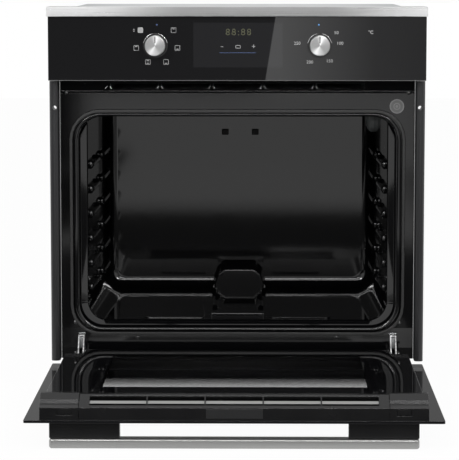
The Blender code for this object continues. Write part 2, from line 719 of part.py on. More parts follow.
GLASS_BACK = GLASS_FRONT + GLASS_SHEET
KNOBS = (("function", "left", KNOB_LEFT), ("temperature", "right", KNOB_RIGHT))
SLEEVE_RADIUS = KNOB_RADIUS + 0.0004 + COLLAR_WALL
GLASS_HOLE = SLEEVE_RADIUS + GAP


def control_panel():
    """The glass, its carrier behind, the metal strip along the top and the clock."""
    holes = [circle(x, KNOB_Z, GLASS_HOLE, 24) for _, _, x in KNOBS]
    half = WIDTH / 2 - 0.0005
    plate(
        "control_glass",
        [rectangle(-half, half, CONTROL_LOW, CONTROL_HIGH), *holes],
        FRONT,
        (-GLASS_BACK, -GLASS_FRONT),
        BLACK_GLASS,
    )
    housing = tray(
        "panel_housing",
        (-HOUSING_HALF, HOUSING_HALF),
        (GLASS_BACK + GAP, FRAME_BACK),
        (HOUSING_LOW, HOUSING_HIGH),
        (0, 1, 0),
        HOUSING_WALL,
        BLACK_PLASTIC,
    )
    face = (GLASS_BACK - 0.01, GLASS_BACK + 0.01)
    room = 0.0005
    window = box(
        "clock_window", (CLOCK_LEFT - room, CLOCK_RIGHT + room), face, (CLOCK_LOW - room, CLOCK_HIGH + room)
    )
    sleeves = [
        rod(f"sleeve_hole_{word}", GLASS_HOLE, 0.02, along("y", x, GLASS_BACK, KNOB_Z)) for _, word, x in KNOBS
    ]
    cut(housing, window, *sleeves)
    clock_front = GLASS_BACK + GAP
    box(
        "clock_module",
        (CLOCK_LEFT, CLOCK_RIGHT),
        (clock_front, clock_front + CLOCK_DEPTH),
        (CLOCK_LOW, CLOCK_HIGH),
        BLACK_PLASTIC,
    )
    lip = CONTROL_HIGH + GAP
    front = GLASS_FRONT - STRIP_PROUD
    top = CHASSIS_HEIGHT + STRIP_RISE
    line = [
        (STRIP_BACK, CHASSIS_HEIGHT + GAP),
        (STRIP_BACK, top),
        (front, top),
        (front, lip),
        (front + 0.0125, lip),
    ]
    folded("top_strip", line, SIDE, (-STRIP_HALF, STRIP_HALF), SHEET, BRUSHED)


def knobs():
    """Each pop-out knob slides in its collar's sleeve and on the switch's shaft, which turns with it."""
    switch_bore = 0.0055
    for use, word, x in KNOBS:
        front = -GLASS_FRONT
        sleeve_back = -SWITCH_FRONT + GAP
        inner = KNOB_RADIUS + 0.0004
        collar = [
            (COLLAR_RADIUS, front + COLLAR_PROUD),
            (COLLAR_RADIUS, front + GAP),
            (SLEEVE_RADIUS, front + GAP),
            (SLEEVE_RADIUS, sleeve_back),
            (inner, sleeve_back),
            (inner, front + COLLAR_PROUD),
        ]
        facing = along("y", x, 0, KNOB_Z)
        turned(f"knob_collar_{word}", collar, facing, BLACK_PLASTIC, 24)
        top = front + KNOB_PROUD
        bottom = top - KNOB_LENGTH
        hole = SHAFT_RADIUS + SHAFT_CLEARANCE
        bore_end = -SHAFT_FRONT + KNOB_TRAVEL + 0.002
        profile = [
            (0, top),
            (KNOB_RADIUS - 0.001, top),
            (KNOB_RADIUS, top - 0.001),
            (KNOB_RADIUS, bottom),
            (hole, bottom),
            (hole, bore_end),
            (0, bore_end),
        ]
        knob = turned(f"knob_{word}", profile, facing, BRUSHED, 32)
        notch = box(
            f"notch_{word}",
            (x - 0.001, x + 0.001),
            (-top - 0.001, -top + 0.0015),
            (KNOB_Z + KNOB_RADIUS - 0.006, KNOB_Z + KNOB_RADIUS + 0.001),
        )
        cut(knob, notch)
        shaft_front, shaft_back = -SHAFT_FRONT, -SWITCH_FRONT - switch_bore + 0.0005
        shaft = rod(
            f"knob_shaft_{word}",
            SHAFT_RADIUS,
            shaft_front - shaft_back,
            along("y", x, -(shaft_front + shaft_back) / 2, KNOB_Z),
            ZINC,
            16,
        )
        name = "function_switch" if use == "function" else "thermostat"
        half = SWITCH_HALF
        switch = box(
            name,
            (x - half, x + half),
            (SWITCH_FRONT, SWITCH_FRONT + SWITCH_DEPTH),
            (KNOB_Z - half, KNOB_Z + half),
            BLACK_PLASTIC,
        )
        cut(switch, rod(f"bore_{word}", hole, 2 * switch_bore, along("y", x, SWITCH_FRONT, KNOB_Z), steps=16))
        carry(pivot(f"{use}_axis", x, SWITCH_FRONT, KNOB_Z), knob, shaft)


def mains_inlet():
    """The covered terminals low on the rear panel, with the gland that a cord would enter by."""
    rear = CHASSIS_REAR - SHEET
    box(
        "terminal_cover",
        (COVER_LEFT, COVER_RIGHT),
        (rear, rear + COVER_DEPTH),
        (COVER_LOW, COVER_HIGH),
        BLACK_PLASTIC,
        0.002,
    )
    sleeve = [
        (GLAND_RADIUS, GLAND_LENGTH),
        (GLAND_RADIUS, 0),
        (GLAND_BORE, 0),
        (GLAND_BORE, GLAND_LENGTH),
    ]
    middle = (COVER_LEFT + COVER_RIGHT) / 2
    below = Matrix.Translation((middle, rear + COVER_DEPTH / 2, COVER_LOW - GAP - GLAND_LENGTH))
    turned("cable_gland", sleeve, below, BLACK_PLASTIC, 12)


# ---------------------------------------------------------------------------------------------
# Door
# ---------------------------------------------------------------------------------------------

OUTER_TOP = DOOR_LOW + GLASS_SHEET
RAIL_LOW, RAIL_HIGH = OUTER_TOP + GAP, INNER_LOW - GAP


def door_glasses():
    """Outer, middle and inner panes; the inner one is cut back where the hinges swing."""
    half = WIDTH / 2
    outline = rounded(-half, half, DOOR_FRONT_END, DOOR_HINGE_END, 0.003, 2)
    outer = plate("outer_glass", [outline], TOP, (DOOR_LOW, OUTER_TOP), BLACK_GLASS)
    rail_web = BOTTOM_RAIL_Y - SHEET
    middle = plate(
        "middle_glass",
        [rectangle(-MIDDLE_HALF, MIDDLE_HALF, VENT_BACK + GAP, rail_web - GAP)],
        TOP,
        (MIDDLE_LOW, MIDDLE_LOW + MIDDLE_SHEET),
        CLEAR_GLASS,
    )
    outline = [
        (-INNER_HALF, INNER_FRONT_END),
        (INNER_HALF, INNER_FRONT_END),
        (INNER_HALF, NOTCH_END),
        (NOTCH_HALF, NOTCH_END),
        (NOTCH_HALF, INNER_HINGE_END),
        (-NOTCH_HALF, INNER_HINGE_END),
        (-NOTCH_HALF, NOTCH_END),
        (-INNER_HALF, NOTCH_END),
    ]
    inner = plate("inner_glass", [outline], TOP, (INNER_LOW, INNER_LOW + GLASS_SHEET), BLACK_GLASS)
    return [outer, middle, inner]


def door_rails():
    """Channels along both sides, which hold the hinge cases, and one across the hinge end."""
    rails = []
    for word, side in SIDES:
        line = [
            (side * RAIL_INNER, RAIL_LOW),
            (side * RAIL_OUTER, RAIL_LOW),
            (side * RAIL_OUTER, RAIL_HIGH),
            (side * RAIL_INNER, RAIL_HIGH),
        ]
        line = line if side > 0 else line[::-1]
        level = (-RAIL_HINGE_END, -RAIL_FRONT_END)
        rails.append(folded(f"door_rail_{word}", line, FRONT, level, SHEET, BLACK_PAINT))
    y = BOTTOM_RAIL_Y
    line = [
        (y - BOTTOM_RAIL_FLANGE, RAIL_LOW),
        (y, RAIL_LOW),
        (y, RAIL_HIGH),
        (y - BOTTOM_RAIL_FLANGE, RAIL_HIGH),
    ]
    half = HINGE_X - CASE_HALF - GAP
    rails.append(folded("door_bottom_rail", line, SIDE, (-half, half), SHEET, BLACK_PAINT))
    return rails


def vent_line():
    """The section of the door's top trim: front face, slotted slope, and a leg down behind the glass edge."""
    return [
        (DOOR_FRONT_END + 0.012, RAIL_LOW),
        (DOOR_FRONT_END, RAIL_LOW),
        (DOOR_FRONT_END, VENT_FACE_HIGH),
        (VENT_RIDGE, VENT_TOP),
        (VENT_BACK, VENT_TOP),
        (VENT_BACK, MIDDLE_LOW - 0.002),
    ]


def top_trim():
    """The slotted trim across the door's top edge, with a solid clip and its button at each end."""
    vent = folded("door_top_trim", vent_line()[::-1], SIDE, (-VENT_HALF, VENT_HALF), VENT_WALL, BLACK_PLASTIC)
    for index in range(OUTLET_SLOTS):
        x = (index - (OUTLET_SLOTS - 1) / 2) * OUTLET_PITCH
        slot = box(
            f"trim_slot_{index}",
            (x - 0.040, x + 0.040),
            (DOOR_FRONT_END + 0.0045, VENT_RIDGE - 0.0025),
            (0.015, 0.060),
        )
        cut(vent, slot)
    pieces = [vent]
    for word, side in SIDES:
        reach = span(side, VENT_HALF + GAP, CLIP_OUTER)
        outline = [
            (VENT_BACK, RAIL_HIGH + 0.0005),
            (VENT_BACK, VENT_TOP + 0.0015),
            (VENT_RIDGE, VENT_TOP + 0.0015),
            (DOOR_FRONT_END + 0.012, VENT_TOP - 0.006),
            (DOOR_FRONT_END + 0.010, VENT_FACE_HIGH + 0.004),
            (DOOR_FRONT_END, VENT_FACE_HIGH),
            (DOOR_FRONT_END, RAIL_LOW),
            (VENT_BACK, RAIL_LOW),
        ]
        clip = plate(f"trim_clip_{word}", [outline], SIDE, reach, BLACK_PLASTIC)
        x = side * BUTTON_X
        room = 0.0004
        pocket = box(
            f"pocket_{word}",
            (x - BUTTON_HALF - room, x + BUTTON_HALF + room),
            (DOOR_FRONT_END - 0.01, DOOR_FRONT_END + BUTTON_SUNK + BUTTON_DEPTH + BUTTON_TRAVEL + room),
            (BUTTON_LOW - room, BUTTON_HIGH + room),
        )
        cut(clip, pocket)
        button = box(
            f"trim_button_{word}",
            (x - BUTTON_HALF, x + BUTTON_HALF),
            (DOOR_FRONT_END + BUTTON_SUNK, DOOR_FRONT_END + BUTTON_SUNK + BUTTON_DEPTH),
            (BUTTON_LOW, BUTTON_HIGH),
            BLACK_PLASTIC,
        )
        pieces += [clip, button]
    return pieces


def handle():
    """A brushed bar across the door on two long black posts."""
    y = (HANDLE_FRONT, HANDLE_BACK)
    top = DOOR_LOW - GAP
    pieces = []
    for word, side in SIDES:
        reach = span(side, HANDLE_HALF - POST_LENGTH, HANDLE_HALF)
        inset = 0.0025
        pieces.append(
            box(
                f"handle_post_{word}",
                reach,
                (y[0] + inset, y[1] - inset),
                (POST_LOW, top),
                BLACK_PLASTIC,
                0.001,
            )
        )
    bar = box("handle_bar", (-HANDLE_HALF, HANDLE_HALF), y, (HANDLE_LOW, POST_LOW - GAP), BRUSHED, 0.003)
    return [*pieces, bar]


# ---------------------------------------------------------------------------------------------
# Hinges
# ---------------------------------------------------------------------------------------------


def eye(radius):
    """The round of a hinge plate about the pivot, from its back round underneath to its front."""
    turns = [math.radians(-60 - 150 * step / 6) for step in range(7)]
    return [(HINGE_Y + radius * math.cos(turn), HINGE_Z + radius * math.sin(turn)) for turn in turns]


def hinges():
    """Fixed arms reach out through the frame's slots; the cases in the door turn on them by pins."""
    door_pieces = []
    for word, side in SIDES:
        x = side * HINGE_X
        door_pieces += [hinge_case(word, x), hinge_pin(word, x)]
        hinge_arm(word, x)
        receptacle(word, x)
        hinge_lock(word, x)
    return door_pieces


def hinge_arm(word, x):
    """A channel, open below: two cheeks that run down to the pivot, and a web along the top."""
    outline = [
        *eye(EYE_RADIUS),
        (-0.2885, ARM_HIGH - 0.004),
        (-0.2855, ARM_HIGH),
        (ARM_BACK, ARM_HIGH),
        (ARM_BACK, ARM_LOW),
        (-0.280, ARM_LOW),
    ]
    arm = plate(f"hinge_arm_{word}", [outline], SIDE, (x - ARM_HALF, x + ARM_HALF), ZINC)
    inside = ARM_HALF - ARM_SHEET
    hollow = box(
        f"arm_hollow_{word}",
        (x - inside, x + inside),
        (-0.33, ARM_BACK - ARM_SHEET),
        (-0.01, ARM_HIGH - ARM_SHEET),
    )
    hole = rod(f"arm_hole_{word}", PIN_RADIUS + GAP, 0.03, along("x", x, HINGE_Y, HINGE_Z), steps=16)
    cut(arm, hollow, hole)


def hinge_case(word, x):
    """The channel in the door's side: it straddles the arm, and is open towards the inner pane."""
    outline = [
        (HINGE_Y + EYE_RADIUS, HINGE_Z),
        *[(u, v) for u, v in eye(EYE_RADIUS)[1:4]],
        (HINGE_Y - 0.016, HINGE_Z - EYE_RADIUS),
        (HINGE_Y - 0.022, CASE_LOW),
        (CASE_END, CASE_LOW),
        (CASE_END, CASE_HIGH),
        (HINGE_Y - 0.014, CASE_HIGH),
        (HINGE_Y + EYE_RADIUS, HINGE_Z + 0.006),
    ]
    case = plate(f"hinge_case_{word}", [outline[::-1]], SIDE, (x - CASE_HALF, x + CASE_HALF), ZINC)
    inside = CASE_HALF - CASE_SHEET
    hollow = box(
        f"case_hollow_{word}",
        (x - inside, x + inside),
        (CASE_END + CASE_SHEET, -0.29),
        (CASE_LOW + CASE_SHEET, 0.06),
    )
    mouth = box(f"case_mouth_{word}", (x - inside, x + inside), (HINGE_Y - 0.018, -0.29), (-0.01, 0.04))
    hole = rod(f"case_hole_{word}", PIN_RADIUS + GAP, 0.03, along("x", x, HINGE_Y, HINGE_Z), steps=16)
    cut(case, hollow, mouth, hole)
    return case


def hinge_pin(word, x):
    return rod(
        f"hinge_pin_{word}", PIN_RADIUS, 2 * CASE_HALF, along("x", x, HINGE_Y, HINGE_Z), ZINC, steps=16
    )


def receptacle(word, x):
    """The pocket behind the frame that an arm hooks into."""
    wall = 0.0012
    half = ARM_HALF + GAP + wall
    low, high = ARM_LOW - GAP - wall, ARM_HIGH + GAP + wall
    tray(
        f"hinge_receptacle_{word}",
        (x - half, x + half),
        (CHASSIS_FRONT + SHEET + GAP, RECEPTACLE_BACK),
        (low, high),
        (0, -1, 0),
        wall,
        ZINC,
    )


def hinge_lock(word, x):
    """The lever between the arm's cheeks that is flipped forward to lift the door off."""
    outline = [
        (LOCK_Y - 0.004, 0.032),
        (LOCK_Y + 0.004, 0.032),
        (LOCK_Y + 0.004, LOCK_Z),
        (LOCK_Y + 0.002, LOCK_HIGH),
        (LOCK_Y - 0.004, LOCK_HIGH),
    ]
    lever = plate(f"hinge_lock_{word}", [outline], SIDE, (x - LOCK_HALF, x + LOCK_HALF), ZINC)
    carry(pivot(f"lock_axis_{word}", x, LOCK_Y, LOCK_Z), lever)


def door():
    pieces = [*door_glasses(), *door_rails(), *top_trim(), *handle(), *hinges()]
    carry(pivot("door_axis", 0, HINGE_Y, HINGE_Z), *pieces)


chassis()
front_frame()
side_trims()
cavity()
gasket()
insulation()
elements()
lamp()
cooling()
control_panel()
knobs()
mains_inlet()
door()
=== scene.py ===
"""A built-in single oven with its drop-down door open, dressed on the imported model."""

import math

import bmesh
import bpy
from mathutils import Matrix, Vector


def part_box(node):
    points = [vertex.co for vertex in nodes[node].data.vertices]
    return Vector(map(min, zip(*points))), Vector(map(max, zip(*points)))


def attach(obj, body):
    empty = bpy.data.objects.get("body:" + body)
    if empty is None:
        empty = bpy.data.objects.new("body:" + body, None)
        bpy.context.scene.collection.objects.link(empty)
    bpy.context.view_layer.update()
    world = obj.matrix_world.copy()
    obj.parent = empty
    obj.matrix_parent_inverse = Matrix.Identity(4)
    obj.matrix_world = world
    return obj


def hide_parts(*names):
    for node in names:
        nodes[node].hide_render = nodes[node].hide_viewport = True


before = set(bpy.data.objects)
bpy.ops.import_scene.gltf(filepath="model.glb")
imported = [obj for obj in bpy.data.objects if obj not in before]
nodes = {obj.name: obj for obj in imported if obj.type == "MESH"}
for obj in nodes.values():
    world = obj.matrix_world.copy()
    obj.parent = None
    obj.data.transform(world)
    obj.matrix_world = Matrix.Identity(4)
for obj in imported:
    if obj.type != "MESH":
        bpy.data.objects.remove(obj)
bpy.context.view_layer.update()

# ---------------------------------------------------------------------------------------------
# Studio: white all round, a soft lamp on each side and two long strip lamps over the front. The camera
# stands a little to the right of the middle and above the oven, and looks slightly down.
# ---------------------------------------------------------------------------------------------
scene = bpy.context.scene
scene.view_settings.view_transform = "Standard"

eye = Vector((0.034, -3.9875, 0.6427))
gaze = Vector((-0.0125, 1.0, -0.1137))
camera = bpy.data.objects.new("camera", bpy.data.cameras.new("camera"))
camera.data.sensor_width = 36.0
camera.data.lens = 182.6
camera.location = eye
camera.rotation_euler = gaze.to_track_quat("-Z", "Y").to_euler()
scene.collection.objects.link(camera)
scene.camera = camera

world = bpy.data.worlds.new("white_studio")
world.use_nodes = True
scene.world = world
sky = world.node_tree
rays = sky.nodes.new("ShaderNodeLightPath")
seen = sky.nodes.new("ShaderNodeMath")
seen.operation = "MAXIMUM"
sky.links.new(rays.outputs["Is Camera Ray"], seen.inputs[0])
mirrored = sky.nodes.new("ShaderNodeMath")
mirrored.operation = "MAXIMUM"
sky.links.new(rays.outputs["Is Glossy Ray"], mirrored.inputs[0])
sky.links.new(rays.outputs["Is Transmission Ray"], mirrored.inputs[1])
sky.links.new(mirrored.outputs[0], seen.inputs[1])
level = sky.nodes.new("ShaderNodeMapRange")
level.inputs["To Min"].default_value = 0.65
level.inputs["To Max"].default_value = 1.0
sky.links.new(seen.outputs[0], level.inputs["Value"])
sky.links.new(level.outputs["Result"], sky.nodes["Background"].inputs["Strength"])
sky.nodes["Background"].inputs["Color"].default_value = (1.0, 1.0, 1.0, 1.0)

for spot, width, height, power in (
    ((-1.5, -2.4, 1.9), 0.40, 0.6, 26.0),
    ((1.5, -2.4, 1.9), 0.40, 0.6, 22.0),
    ((0.0, -2.6, 1.72), 2.2, 0.09, 11.0),
    ((0.0, -3.4, 1.20), 1.8, 0.12, 15.0),
):
    lamp = bpy.data.objects.new("softbox", bpy.data.lights.new("softbox", "AREA"))
    lamp.data.shape = "RECTANGLE"
    lamp.data.size, lamp.data.size_y = width, height
    lamp.data.energy = power
    lamp.location = spot
    aim = Vector((0.0, -0.3, 0.2)) - lamp.location
    lamp.rotation_euler = aim.to_track_quat("-Z", "Y").to_euler()
    scene.collection.objects.link(lamp)


# ---------------------------------------------------------------------------------------------
# Floor: a pale sheet just under the handle, which stands in for the room the oven is fitted in.
# It is white to the eye and keeps a light shadow.
# ---------------------------------------------------------------------------------------------
class Value:
    """A number inside a material; the arithmetic signs add Math nodes."""

    def __init__(self, finish, socket):
        self.finish = finish
        self.socket = socket

    def _math(self, operation, first, second):
        return self.finish.node("ShaderNodeMath", {"operation": operation}, {0: first, 1: second})

    def __add__(self, other):
        return self._math("ADD", self, other)

    def __sub__(self, other):
        return self._math("SUBTRACT", self, other)

    def __rsub__(self, other):
        return self._math("SUBTRACT", other, self)

    def __mul__(self, other):
        return self._math("MULTIPLY", self, other)

    def __pow__(self, other):
        return self._math("POWER", self, other)

    def __gt__(self, other):
        return self._math("GREATER_THAN", self, other)

    def __lt__(self, other):
        return self._math("LESS_THAN", self, other)

    def abs(self):
        return self._math("ABSOLUTE", self, 0.0)

    __radd__ = __add__
    __rmul__ = __mul__


class Finish:
    """A material on its Principled shader, with one way to add any other node."""

    def __init__(self, name, color, roughness, metallic=0.0, **more):
        self.material = bpy.data.materials.new(name)
        self.material.use_nodes = True
        self.tree = self.material.node_tree
        self.shader = self.tree.nodes["Principled BSDF"]
        self.set("Base Color", (*color, 1.0))
        self.set("Roughness", roughness)
        self.set("Metallic", metallic)
        for socket, value in more.items():
            self.set(socket.replace("_", " "), value)

    def set(self, socket, value):
        """Sets or links one of the Principled shader's sockets."""
        self._feed(self.shader.inputs[socket], value)

    def _feed(self, socket, value):
        if isinstance(value, Value):
            self.tree.links.new(value.socket, socket)
        else:
            socket.default_value = value

    def node(self, kind, settings=None, inputs=None, output=0):
        """Adds a node: its settings first, then the values or links of its sockets."""
        node = self.tree.nodes.new(kind)
        for key, value in (settings or {}).items():
            if key == "stops":
                for at, _ in value[1:-1]:
                    node.color_ramp.elements.new(at)
                for element, (at, color) in zip(node.color_ramp.elements, value):
                    element.position = at
                    element.color = color
            else:
                setattr(node, key, value)
        for key, value in (inputs or {}).items():
            self._feed(node.inputs[key], value)
        return Value(self, node.outputs[output])

    def place(self):
        """The point on the surface, in the object's own metres."""
        return self.node("ShaderNodeTexCoord", output="Object")

    def axes(self):
        """The same point as three numbers."""
        split = self.node("ShaderNodeSeparateXYZ", inputs={0: self.place()})
        return [Value(self, split.socket.node.outputs[index]) for index in range(3)]

    def radius(self, centre_x, centre_z):
        """Distance from a line that runs from front to back through this point."""
        x, _, z = self.axes()
        flat = self.node("ShaderNodeCombineXYZ", inputs={0: x - centre_x, 1: z - centre_z})
        return self.node("ShaderNodeVectorMath", {"operation": "LENGTH"}, {0: flat}, 1)

    def noise(self, scale, detail=2.0, stretch=(1.0, 1.0, 1.0), rough=0.5):
        spot = self.node("ShaderNodeMapping", inputs={"Vector": self.place(), "Scale": stretch})
        inputs = {"Vector": spot, "Scale": scale, "Detail": detail, "Roughness": rough}
        return self.node("ShaderNodeTexNoise", inputs=inputs)

    def between(self, value, low, high):
        """Maps 0..1 to low..high."""
        return self.node("ShaderNodeMapRange", inputs={"Value": value, "To Min": low, "To Max": high})

    def tint(self, mask, first, second):
        """A colour that goes from first to second with the mask."""
        return self.node(
            "ShaderNodeMix",
            {"data_type": "RGBA"},
            {0: mask, 6: (*first, 1.0) if isinstance(first, tuple) else first, 7: (*second, 1.0)},
            output=2,
        )

    def bump(self, height, depth, strength=1.0):
        inputs = {"Height": height, "Distance": depth, "Strength": strength}
        self.set("Normal", self.node("ShaderNodeBump", inputs=inputs))


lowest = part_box("handle_bar")[0].z
floor_mesh = bpy.data.meshes.new("floor")
floor_bm = bmesh.new()
under_handle = Matrix.Translation((0, 0, lowest - 0.002))
bmesh.ops.create_grid(floor_bm, x_segments=1, y_segments=1, size=8.0, matrix=under_handle)
floor_bm.to_mesh(floor_mesh)
floor_bm.free()
floor = bpy.data.objects.new("floor", floor_mesh)
scene.collection.objects.link(floor)
paper = Finish("floor_paper", (0.8, 0.8, 0.8), 0.9)
glow = paper.node("ShaderNodeEmission", inputs={"Color": (1, 1, 1, 1), "Strength": 1.0})
blend = paper.node("ShaderNodeMixShader", inputs={0: 0.96})
paper.tree.links.new(paper.shader.outputs[0], blend.socket.node.inputs[1])
paper.tree.links.new(glow.socket, blend.socket.node.inputs[2])
paper.tree.links.new(blend.socket, paper.tree.nodes["Material Output"].inputs["Surface"])
floor_mesh.materials.append(paper.material)


# ---------------------------------------------------------------------------------------------
# Flags and cards: dark cloths and one lit card stand round the oven and the camera, where only
# polished surfaces see them. They give the black glass and enamel their contrast.
# ---------------------------------------------------------------------------------------------
def card(name, x, y, z, stops, along="x", tilt=0.0):
    """A card between two corners, lit along x or y; a tilt slants it, and ends it at the last stop."""
    mesh = bpy.data.meshes.new(name)
    bm = bmesh.new()
    bmesh.ops.create_grid(bm, x_segments=1, y_segments=1, size=0.5)
    if z[0] == z[1]:
        size = Matrix.Diagonal((x[1] - x[0], y[1] - y[0], 1.0, 1.0))
    else:
        upright = Matrix.Rotation(math.radians(90), 4, "X")
        size = upright @ Matrix.Diagonal((x[1] - x[0], z[1] - z[0], 1.0, 1.0))
    middle = Vector(((x[0] + x[1]) / 2, (y[0] + y[1]) / 2, (z[0] + z[1]) / 2))
    bmesh.ops.transform(bm, matrix=Matrix.Translation(middle) @ size, verts=bm.verts)
    bm.to_mesh(mesh)
    bm.free()
    obj = bpy.data.objects.new(name, mesh)
    scene.collection.objects.link(obj)
    cloth = Finish(name, (0, 0, 0), 1.0)
    place_x, place_y, place_z = cloth.axes()
    spot = place_y if along == "y" else place_x - place_z * tilt
    low, high = stops[0][0], stops[-1][0]
    share = cloth.node("ShaderNodeMapRange", inputs={"Value": spot, "From Min": low, "From Max": high})
    ramp = [((at - low) / (high - low), (light, light, light, 1.0)) for at, light in stops]
    light = cloth.node("ShaderNodeValToRGB", {"stops": ramp}, {0: share})
    glow = cloth.node("ShaderNodeEmission", inputs={"Color": light})
    if tilt:
        open_air = cloth.node("ShaderNodeBsdfTransparent")
        edge = cloth.node("ShaderNodeMixShader", inputs={0: spot > high})
        cloth.tree.links.new(glow.socket, edge.socket.node.inputs[1])
        cloth.tree.links.new(open_air.socket, edge.socket.node.inputs[2])
        glow = edge
    cloth.tree.links.new(glow.socket, cloth.tree.nodes["Material Output"].inputs["Surface"])
    mesh.materials.append(cloth.material)
    obj.visible_camera = obj.visible_diffuse = obj.visible_shadow = obj.visible_transmission = False


# Each stop is a place in metres along the card and how bright the card is there.
FLAG_Z = (lowest + 0.001, lowest + 0.001)
WALL_Y = (-4.3, -4.3)
WALL_Z = (-0.03, 0.47)
FAR_FLOOR_Y = (-4.3, -2.45)
PANEL_Z = (0.262, 0.484)
card(
    "floor_flag",
    (-3.0, 3.0),
    (-2.45, -0.80),
    FLAG_Z,
    [(-2.45, 0.9), (-2.25, 0.7), (-2.05, 0.10), (-0.80, 0.06)],
    along="y",
)
card("left_flag", (-4.0, -0.54), WALL_Y, WALL_Z, [(-4.0, 0.0), (-0.57, 0.0), (-0.535, 0.9)])
card("left_floor_flag", (-4.0, -0.43), FAR_FLOOR_Y, FLAG_Z, [(-4.0, 0.0), (-0.445, 0.02), (-0.43, 0.9)])
card("right_flag", (0.56, 4.0), WALL_Y, WALL_Z, [(0.56, 0.9), (0.66, 0.35), (4.0, 0.3)])
card("right_floor_flag", (0.44, 4.0), FAR_FLOOR_Y, FLAG_Z, [(0.44, 0.9), (0.52, 0.35), (4.0, 0.3)])
card("upper_flag", (-1.6, 1.6), (-4.4, -4.4), (0.60, 2.6), [(-1.6, 0.40), (0.0, 0.22), (1.6, 0.34)])
card(
    "back_flag",
    (-4.0, 4.0),
    (3.0, 3.0),
    (0.05, 3.5),
    [(-4.0, 0.30), (-0.52, 0.28), (-0.44, 1.0), (0.42, 1.0), (0.50, 0.22), (4.0, 0.12)],
)
card("panel_flag", (-0.72, 0.115), (-3.99, -3.99), PANEL_Z, [(-0.75, 0.15), (0.0106, 0.18)], tilt=0.158)
card(
    "panel_card",
    (0.02, 0.75),
    (-4.0, -4.0),
    PANEL_Z,
    [(0.02, 1.6), (0.10, 1.55), (0.40, 0.55), (0.60, 0.40), (0.75, 0.3)],
)

# ---------------------------------------------------------------------------------------------
# Chassis: pressed zinc-coated sheet with its faint spangle; the base is painted black. The same
# coated sheet makes the service deck, duct, fan housing and motor can.
# ---------------------------------------------------------------------------------------------
def dress(material, *names):
    """Gives these CAD nodes the material."""
    for name in names:
        mesh = nodes[name].data
        mesh.materials.clear()
        mesh.materials.append(material)


galvanised = Finish("galvanised_sheet", (0.55, 0.56, 0.57), 0.42, 1.0)
spangle = galvanised.node(
    "ShaderNodeTexVoronoi",
    inputs={"Vector": galvanised.place(), "Scale": 70.0, "Randomness": 1.0},
    output="Color",
)
flake = galvanised.node("ShaderNodeSeparateColor", inputs={0: spangle})
galvanised.set("Base Color", galvanised.tint(flake * 0.35, (0.50, 0.51, 0.52), (0.66, 0.67, 0.69)))
galvanised.set("Roughness", galvanised.between(flake, 0.36, 0.50))
galvanised.bump(galvanised.noise(9.0), 0.0006, 0.4)
dress(
    galvanised.material,
    "chassis_left",
    "chassis_right",
    "chassis_back",
    "chassis_top",
    "service_deck",
    "air_duct",
    "blower_housing",
    "blower_motor",
)

satin_black = Finish("satin_black_paint", (0.010, 0.010, 0.011), 0.34, 0.0)
satin_black.bump(satin_black.noise(900.0), 0.00006, 0.5)
satin_black.set("Roughness", satin_black.between(satin_black.noise(14.0, 3.0), 0.27, 0.40))
dress(
    satin_black.material,
    "chassis_base",
    "side_trim_left",
    "side_trim_right",
    "door_rail_left",
    "door_rail_right",
    "door_bottom_rail",
)

rotor_metal = Finish("rotor_aluminium", (0.72, 0.73, 0.74), 0.35, 1.0)
rotor_metal.set("Roughness", rotor_metal.between(rotor_metal.noise(60.0, 2.0, (0.1, 1.0, 1.0)), 0.26, 0.46))
dress(rotor_metal.material, "blower_drum")

wool = Finish("mineral_wool", (0.55, 0.50, 0.38), 0.95)
wool.set("Base Color", wool.tint(wool.noise(55.0, 6.0), (0.42, 0.37, 0.26), (0.68, 0.63, 0.50)))
wool.bump(wool.noise(140.0, 6.0), 0.002, 0.9)
dress(wool.material, "insulation")

plain_plastic = Finish("black_plastic", (0.014, 0.014, 0.014), 0.42)
plain_plastic.bump(plain_plastic.noise(700.0, 3.0), 0.00008, 0.6)
plain_plastic.set("Roughness", plain_plastic.between(plain_plastic.noise(40.0), 0.36, 0.5))
dress(
    plain_plastic.material,
    "panel_housing",
    "clock_module",
    "function_switch",
    "thermostat",
    "terminal_cover",
    "cable_gland",
)

# ---------------------------------------------------------------------------------------------
# Front frame: sheet steel under glossy black enamel, which pools into a faint orange peel. Its cut
# edges are rolled by the press, so each is rounded here on a copy of the CAD shape. Its upper band
# leans back above a crease and its lowest edge leans too, which bump in the enamel stands for.
# ---------------------------------------------------------------------------------------------
enamel = Finish("black_enamel", (0.0018, 0.0018, 0.0021), 0.05, 0.0, IOR=1.52)
enamel.bump(enamel.noise(90.0, 2.0), 0.00002, 0.2)
enamel.set("Roughness", enamel.between(enamel.noise(22.0, 3.0), 0.040, 0.065))


def piece(name, bm, body, material, smooth=35):
    """Turns a finished bmesh into a piece that rides on a body."""
    mesh = bpy.data.meshes.new(name)
    bm.to_mesh(mesh)
    bm.free()
    if smooth:
        mesh.shade_smooth()
        mesh.set_sharp_from_angle(angle=math.radians(smooth))
    mesh.materials.append(material)
    obj = bpy.data.objects.new(name, mesh)
    scene.collection.objects.link(obj)
    if smooth:
        flatten = obj.modifiers.new("flat_faces", "WEIGHTED_NORMAL")
        flatten.keep_sharp = True
        flatten.weight = 100
    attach(obj, body)
    return obj


def round_over(bm, edges, offset, segments, clamp=False):
    """Rounds these edges, each to this width."""
    bmesh.ops.bevel(
        bm,
        geom=list(edges),
        offset=offset,
        segments=segments,
        profile=0.5,
        affect="EDGES",
        material=-1,
        clamp_overlap=clamp,
    )


